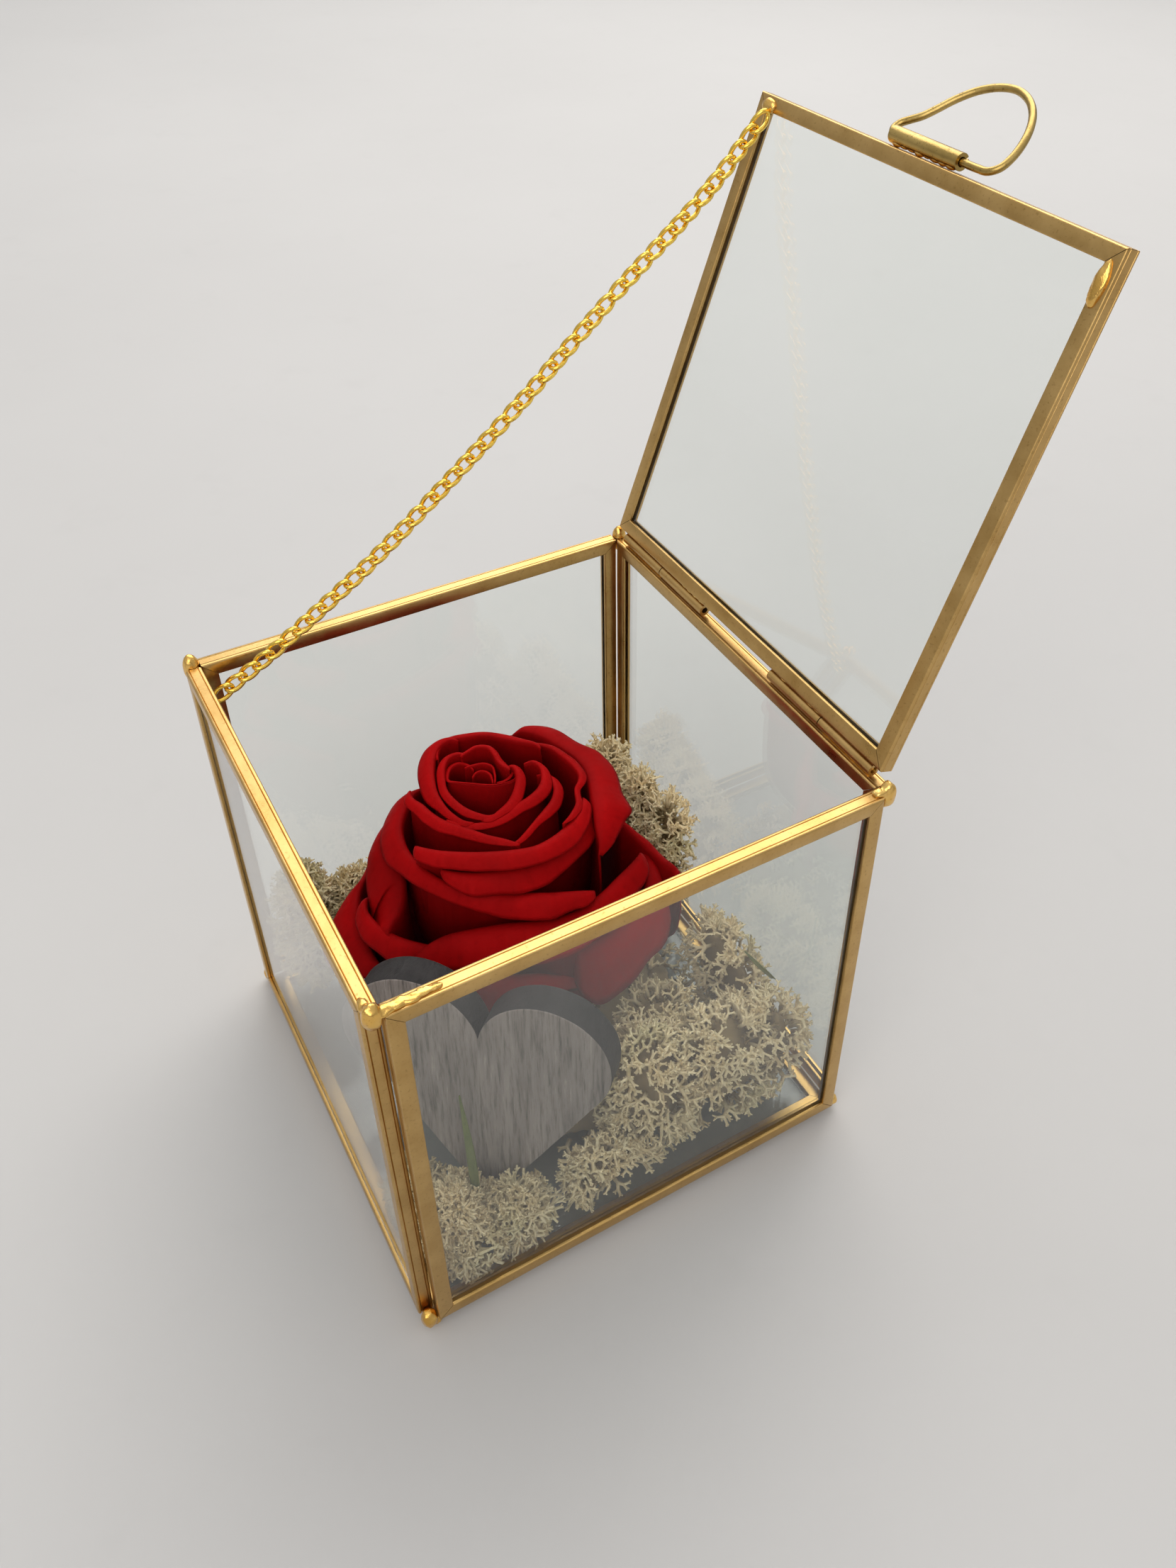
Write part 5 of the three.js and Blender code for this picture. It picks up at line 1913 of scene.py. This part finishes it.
@dataclass
class GlassCube:
    """The cube itself: six panes in brass channels, soldered at the corners."""

    def build(self, bench: Workbench) -> None:
        """Makes the frames and the solder, and dresses the panes.

        Args:
            bench: Where the pieces are finished.
        """
        for side in Side:
            body = Body.LID if side is Side.LID else Body.BOX
            ChannelFrame(side, body).build(bench)
        bench.dress([f"pane_{side.value}" for side in Side], bench.palette.glass)
        for solder in self._solder():
            solder.build(bench)

    @staticmethod
    def _solder() -> list[Solder]:
        """Lists every run of solder.

        Returns:
            The eight corners and the two runs on the lid.
        """
        top = CUBE - 3.1
        low = 1.6
        s = SETBACK
        corners = {
            "solder_a_top": (1, -1, top, [
                ((0, 0, 0.3), (1.35, 1.35, 2.2), 0.12), ((0.15, 1.6, 0.75), (0.95, 1.5, 0.65), 0.25),
                ((0.05, 3.2, 0.75), (0.9, 1.5, 0.55), 0.3), ((0.15, 5.0, 0.75), (0.85, 1.5, 0.5), 0.35),
                ((-0.05, 6.6, 0.72), (0.75, 1.3, 0.45), 0.35), ((0.05, 8.2, 0.7), (0.55, 1.1, 0.35), 0.35),
                ((-1.6, -0.35, 0.75), (1.4, 0.8, 0.55), 0.25),
            ]),
            "solder_b_top": (-1, -1, top, [((0, 0, 0), (1.3, 1.3, 2.6), 0.08)]),
            "solder_c_top": (1, 1, top, [((0, 0, 0), (1.3, 1.3, 2.4), 0.12), ((0, -1.1, 0.9), (0.9, 1.4, 0.7), 0.2)]),
            "solder_d_top": (-1, 1, top, [((0, 0, 0), (1.3, 1.3, 2.6), 0.08)]),
            "solder_a_bottom": (1, -1, low, [
                ((0, 0, 1.0), (1.3, 1.3, 2.0), 0.18), ((-0.9, 0.1, -0.4), (1.3, 0.9, 0.8), 0.25),
                ((-0.1, 0.9, -0.4), (0.9, 1.3, 0.8), 0.25),
            ]),
            "solder_b_bottom": (-1, -1, low, [((0, 0, 0.3), (1.35, 1.35, 1.9), 0.1)]),
            "solder_c_bottom": (1, 1, low, [((-0.35, -0.35, 0.4), (1.0, 1.0, 1.3), 0.12)]),
            "solder_d_bottom": (-1, 1, low, [((0, 0, 0.3), (1.35, 1.35, 1.9), 0.1)]),
        }
        made = []
        for number, (node, (sx, sy, height, beads)) in enumerate(corners.items()):
            drops = [
                Bead((sx * (s + centre[0]), sy * s + centre[1], height + centre[2]), radii, lumpiness)
                for centre, radii, lumpiness in beads
            ]
            made.append(Solder(node, drops, number * 5.7 + 1))
        on_lid = (
            ("solder_lid_chain", Bead((-34.6, -35.9, 77.5), (1.6, 1.2, 0.8)), 3.3),
            ("solder_lid_corner", Bead((35.9, -32.6, 77.5), (1.0, 3.0, 0.75), 0.2), 6.1),
        )
        made.extend(Solder(node, [bead], seed, Body.LID, lid_turn()) for node, bead, seed in on_lid)
        return made


@dataclass
class Studio:
    """The floor, the lights and the camera."""

    azimuth: float = 58.654
    elevation: float = 38.767
    roll: float = 1.083
    distance: float = 264.67
    target: Row = (-38.42, 46.57, 40.0)
    focal_pixels: float = 1850.56
    principal: tuple[float, float] = (93.1, -141.3)
    picture_height: float = 2212.0
    sensor: float = 36.0
    floor_size: float = 4000.0
    clip: tuple[float, float] = (0.01, 20.0)

    def build(self, bench: Workbench) -> None:
        """Makes the floor, the world, the lights and the camera.

        Args:
            bench: Where the floor is finished.
        """
        bm = bmesh.new()
        bmesh.ops.create_grid(bm, x_segments=1, y_segments=1, size=self.floor_size)
        bmesh.ops.translate(bm, vec=(0, 0, -0.05), verts=bm.verts)
        floor = bench.finish(bm, "floor", [bench.palette.floor], None)
        world = bpy.data.worlds.new("studio")
        bpy.context.scene.world = world
        world.use_nodes = True
        self._sky(world)
        self._light("window", (-600, 500, 900), (0, 0, 40), 1100, 11.0, (1.0, 0.98, 0.95))
        self._light("side", (700, -700, 800), (0, 0, 40), 1000, 7.0, (1.0, 0.97, 0.93))
        self._camera()
        bpy.context.scene.view_settings.view_transform = "Standard"

    @staticmethod
    def _sky(world: bpy.types.World) -> None:
        """Makes the room's soft light: bright overhead and dimmer towards the floor.

        Args:
            world: The world that gets it.
        """
        board = NodeBoard(world.node_tree)
        way = board.add("ShaderNodeTexCoord").outputs["Generated"]
        height = board.add("ShaderNodeSeparateXYZ", Vector=way).outputs["Z"]
        color = board.mix(board.span(height, 0.0, 0.9), (0.45, 0.45, 0.46, 1), (0.98, 0.99, 1.0, 1))
        background = world.node_tree.nodes["Background"]
        board.fill(background, Color=color, Strength=0.85)

    def _light(self, name: str, place: Row, aim: Row, size: float, power: float, color: Row) -> None:
        """Hangs one soft light.

        Args:
            name: The light's name.
            place: Where it hangs, in millimetres.
            aim: The point it faces.
            size: Its side, in millimetres.
            power: Its power in watts.
            color: Its colour.
        """
        data = bpy.data.lights.new(name, "AREA")
        data.shape = "SQUARE"
        data.size = size * MM
        data.energy = power
        data.color = color
        lamp = bpy.data.objects.new(name, data)
        lamp.location = piece_point(Vector(place))
        way = Vector(aim) - Vector(place)
        lamp.rotation_euler = way.to_track_quat("-Z", "Y").to_euler()
        bpy.context.scene.collection.objects.link(lamp)

    def _camera(self) -> None:
        """Sets the camera where the photograph was taken."""
        a, e, r = (math.radians(value) for value in (self.azimuth, self.elevation, self.roll))
        back = Vector((math.sin(a) * math.cos(e), -math.cos(a) * math.cos(e), math.sin(e)))
        right = (-back).cross(Vector((0, 0, 1))).normalized()
        up = right.cross(-back).normalized()
        turned_right = right * math.cos(r) + up * math.sin(r)
        turned_up = up * math.cos(r) - right * math.sin(r)
        matrix = Matrix((turned_right, turned_up, back)).transposed().to_4x4()
        matrix.translation = piece_point(Vector(self.target) + back * self.distance)
        data = bpy.data.cameras.new("camera")
        data.sensor_width = self.sensor
        data.lens = self.focal_pixels / self.picture_height * self.sensor
        data.shift_x = -self.principal[0] / self.picture_height
        data.shift_y = self.principal[1] / self.picture_height
        data.clip_start, data.clip_end = self.clip
        camera = bpy.data.objects.new("camera", data)
        camera.matrix_world = matrix
        bpy.context.scene.collection.objects.link(camera)
        bpy.context.scene.camera = camera


def main() -> None:
    """Builds every sub-assembly in order."""
    logging.basicConfig(level=logging.INFO, format="%(name)s: %(message)s")
    bench = Workbench(Palette())
    GlassCube().build(bench)
    Hinge().build(bench)
    Handle().build(bench)
    Chain().build(bench)
    heart = WoodenHeart()
    heart.build(bench)
    rose = Rose()
    rose.build(bench)
    Filling(heart, rose).build(bench)
    Studio().build(bench)


if __name__ == "__main__":
    main()
